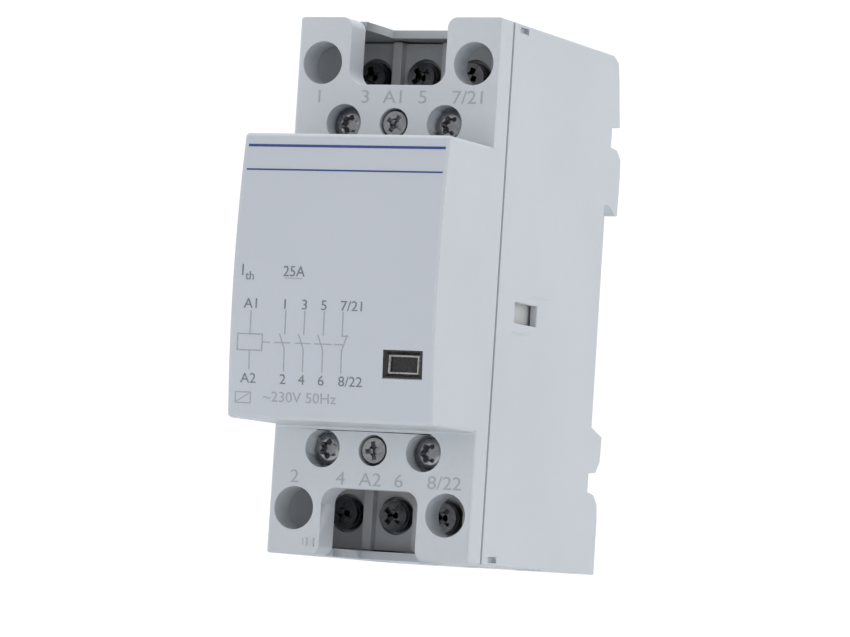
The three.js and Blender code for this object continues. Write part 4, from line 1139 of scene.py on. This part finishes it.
def side_ribs():
    """Faint witness lines that the mould leaves on the right side."""
    shape = bmesh.new()
    for start, end, z in SIDE_RIBS:
        size = Matrix.Diagonal((RIB_STAND, end - start, RIB_WIDTH, 1))
        spot = Matrix.Translation((HALF_WIDTH, (start + end) / 2, z))
        bmesh.ops.create_cube(shape, size=1.0, matrix=spot @ size)
    piece("side_ribs", mesh_of(shape, "side_ribs"), [HOUSING], "housing")


side_ribs()


# ---- Indicator window ----

WINDOW_X, WINDOW_Z = 12.2, -13.05
WINDOW_HALF_X, WINDOW_HALF_Z = 3.2, 2.05
FOLLOWS_FRONT = 0.1  # steps less deep than this follow the bowed front


def window_ring(name, finish, steps, radius):
    """A closed ring about the window; a step tells how far outside the opening and how deep."""
    shape = bmesh.new()
    rings = []
    for outside, depth in steps:
        half_x, half_z = WINDOW_HALF_X + outside, WINDOW_HALF_Z + outside
        ring = []
        for i, k in ((-1, -1), (1, -1), (1, 1), (-1, 1)):
            z = WINDOW_Z + k * half_z
            front = NOSE_Y - bow(z if depth < FOLLOWS_FRONT else WINDOW_Z)
            ring.append(shape.verts.new((WINDOW_X + i * half_x, front + depth, z)))
        rings.append(ring)
    for ring, following in zip(rings, rings[1:] + rings[:1]):
        for i in range(4):
            j = (i + 1) % 4
            shape.faces.new((ring[i], ring[j], following[j], following[i]))
    bmesh.ops.recalc_face_normals(shape, faces=shape.faces)
    soften(shape, radius)
    piece(name, smooth_mesh(shape, name), [finish], "housing")


# A black surround lines the chamfer, with a grey rim before the flag
SURROUND = (
    (0.1, 0.03),
    (-0.16, 0.05),
    (-0.8, 0.86),
    (-0.98, 0.9),
    (-0.98, 0.97),
    (-0.55, 1.2),
    (0.1, 1.2),
)
RIM = ((-0.62, 0.58), (-0.84, 0.56), (-0.9, 0.9), (-0.8, 0.95), (-0.6, 0.8))
window_ring("window_surround", BLACK, SURROUND, 0.03)
window_ring("window_rim", WINDOW_GREY, RIM, 0.04)


# ---- Camera, light and floor ----

CAMERA_AZIMUTH = math.radians(25.964)
CAMERA_ELEVATION = math.radians(-3.63)
CAMERA_ROLL = math.radians(3.649)
CAMERA_DISTANCE = 774.6
CAMERA_OFFSET = (-12.51, -1.273)  # of the aim, to the right and up, in millimetres
CAMERA_LENS = 198.95
CAMERA_SENSOR = 36.0
LIGHT_AIM = Vector((0, -0.03, 0))
LIGHTS = (  # name, place in metres, width and power
    ("key", (0.95, -0.75, 0.35), 0.6, 0.7),
    ("fill", (-1.0, -0.8, 0.0), 0.6, 4.4),
    ("top", (0.1, 0.15, 1.1), 0.7, 6.5),
    ("back", (0.5, 0.9, 0.4), 0.7, 1.0),
)
FRONT_LEVEL, AROUND_LEVEL = 0.55, 0.93  # brightness of the surround
SEEN_LEVEL = 1.05  # behind the object, where the camera sees it
FLOOR_Z = -62.0  # just under what the camera sees
FLOOR_RADIUS = 450.0


def place_camera():
    """Aims the camera from the right and slightly below, with its roll."""
    back = Vector(
        (
            math.sin(CAMERA_AZIMUTH) * math.cos(CAMERA_ELEVATION),
            -math.cos(CAMERA_AZIMUTH) * math.cos(CAMERA_ELEVATION),
            math.sin(CAMERA_ELEVATION),
        )
    )
    level = Vector((math.cos(CAMERA_AZIMUTH), math.sin(CAMERA_AZIMUTH), 0))
    upright = back.cross(level)
    right = level * math.cos(CAMERA_ROLL) + upright * math.sin(CAMERA_ROLL)
    up = upright * math.cos(CAMERA_ROLL) - level * math.sin(CAMERA_ROLL)
    data = bpy.data.cameras.new("camera")
    data.lens = CAMERA_LENS
    data.sensor_width = CAMERA_SENSOR
    camera = bpy.data.objects.new("camera", data)
    bpy.context.scene.collection.objects.link(camera)
    turn = Matrix((right, up, back)).transposed().to_4x4()
    spot = (back * CAMERA_DISTANCE + right * CAMERA_OFFSET[0] + up * CAMERA_OFFSET[1]) * MM
    camera.matrix_world = Matrix.Translation(spot) @ turn
    bpy.context.scene.camera = camera


def soft_light(name, spot, size, power):
    """A round soft lamp that looks at the object."""
    data = bpy.data.lights.new(name, "AREA")
    data.shape = "DISK"
    data.size = size
    data.energy = power
    lamp = bpy.data.objects.new(name, data)
    bpy.context.scene.collection.objects.link(lamp)
    lamp.location = spot
    lamp.rotation_mode = "QUATERNION"
    lamp.rotation_quaternion = (LIGHT_AIM - Vector(spot)).to_track_quat("-Z", "Y")


def pale_floor():
    """A round pale floor, with a faint drift of tone and a fine grain."""
    finish = Finish("pale_floor", 0.7)
    drift = finish.noise(60, detail=2)
    finish.colour(finish.ramp(drift, 0.3, 0.7, (0.86, 0.87, 0.88), (0.9, 0.9, 0.91)))
    finish.bump((finish.noise(3, detail=2), 0.02))
    shape = bmesh.new()
    bmesh.ops.create_circle(shape, cap_ends=True, segments=64, radius=FLOOR_RADIUS * MM)
    bmesh.ops.translate(shape, verts=shape.verts, vec=(0, 0, FLOOR_Z * MM))
    mesh = mesh_of(shape, "floor")
    mesh.materials.append(finish.material)
    floor = bpy.data.objects.new("floor", mesh)
    bpy.context.scene.collection.objects.link(floor)


def studio_surround():
    """A white surround that is darker on the front side, where metal mirrors it."""
    world = bpy.data.worlds.new("studio")
    world.use_nodes = True
    nodes, links = world.node_tree.nodes, world.node_tree.links
    background = nodes["Background"]
    apart = nodes.new("ShaderNodeSeparateXYZ")
    links.new(nodes.new("ShaderNodeTexCoord").outputs["Generated"], apart.inputs[0])
    ramp = nodes.new("ShaderNodeMapRange")
    ramp.inputs["From Min"].default_value = -0.95
    ramp.inputs["From Max"].default_value = -0.1
    ramp.inputs["To Min"].default_value = FRONT_LEVEL
    ramp.inputs["To Max"].default_value = AROUND_LEVEL
    links.new(apart.outputs["Y"], ramp.inputs["Value"])
    seen = nodes.new("ShaderNodeMix")
    seen.data_type = "FLOAT"
    links.new(nodes.new("ShaderNodeLightPath").outputs["Is Camera Ray"], seen.inputs[0])
    links.new(ramp.outputs["Result"], seen.inputs[2])
    seen.inputs[3].default_value = SEEN_LEVEL
    links.new(seen.outputs[0], background.inputs["Strength"])
    background.inputs["Color"].default_value = (0.985, 0.99, 1.0, 1)
    bpy.context.scene.world = world


place_camera()
for light in LIGHTS:
    soft_light(*light)
pale_floor()
studio_surround()
bpy.context.scene.view_settings.view_transform = "Standard"
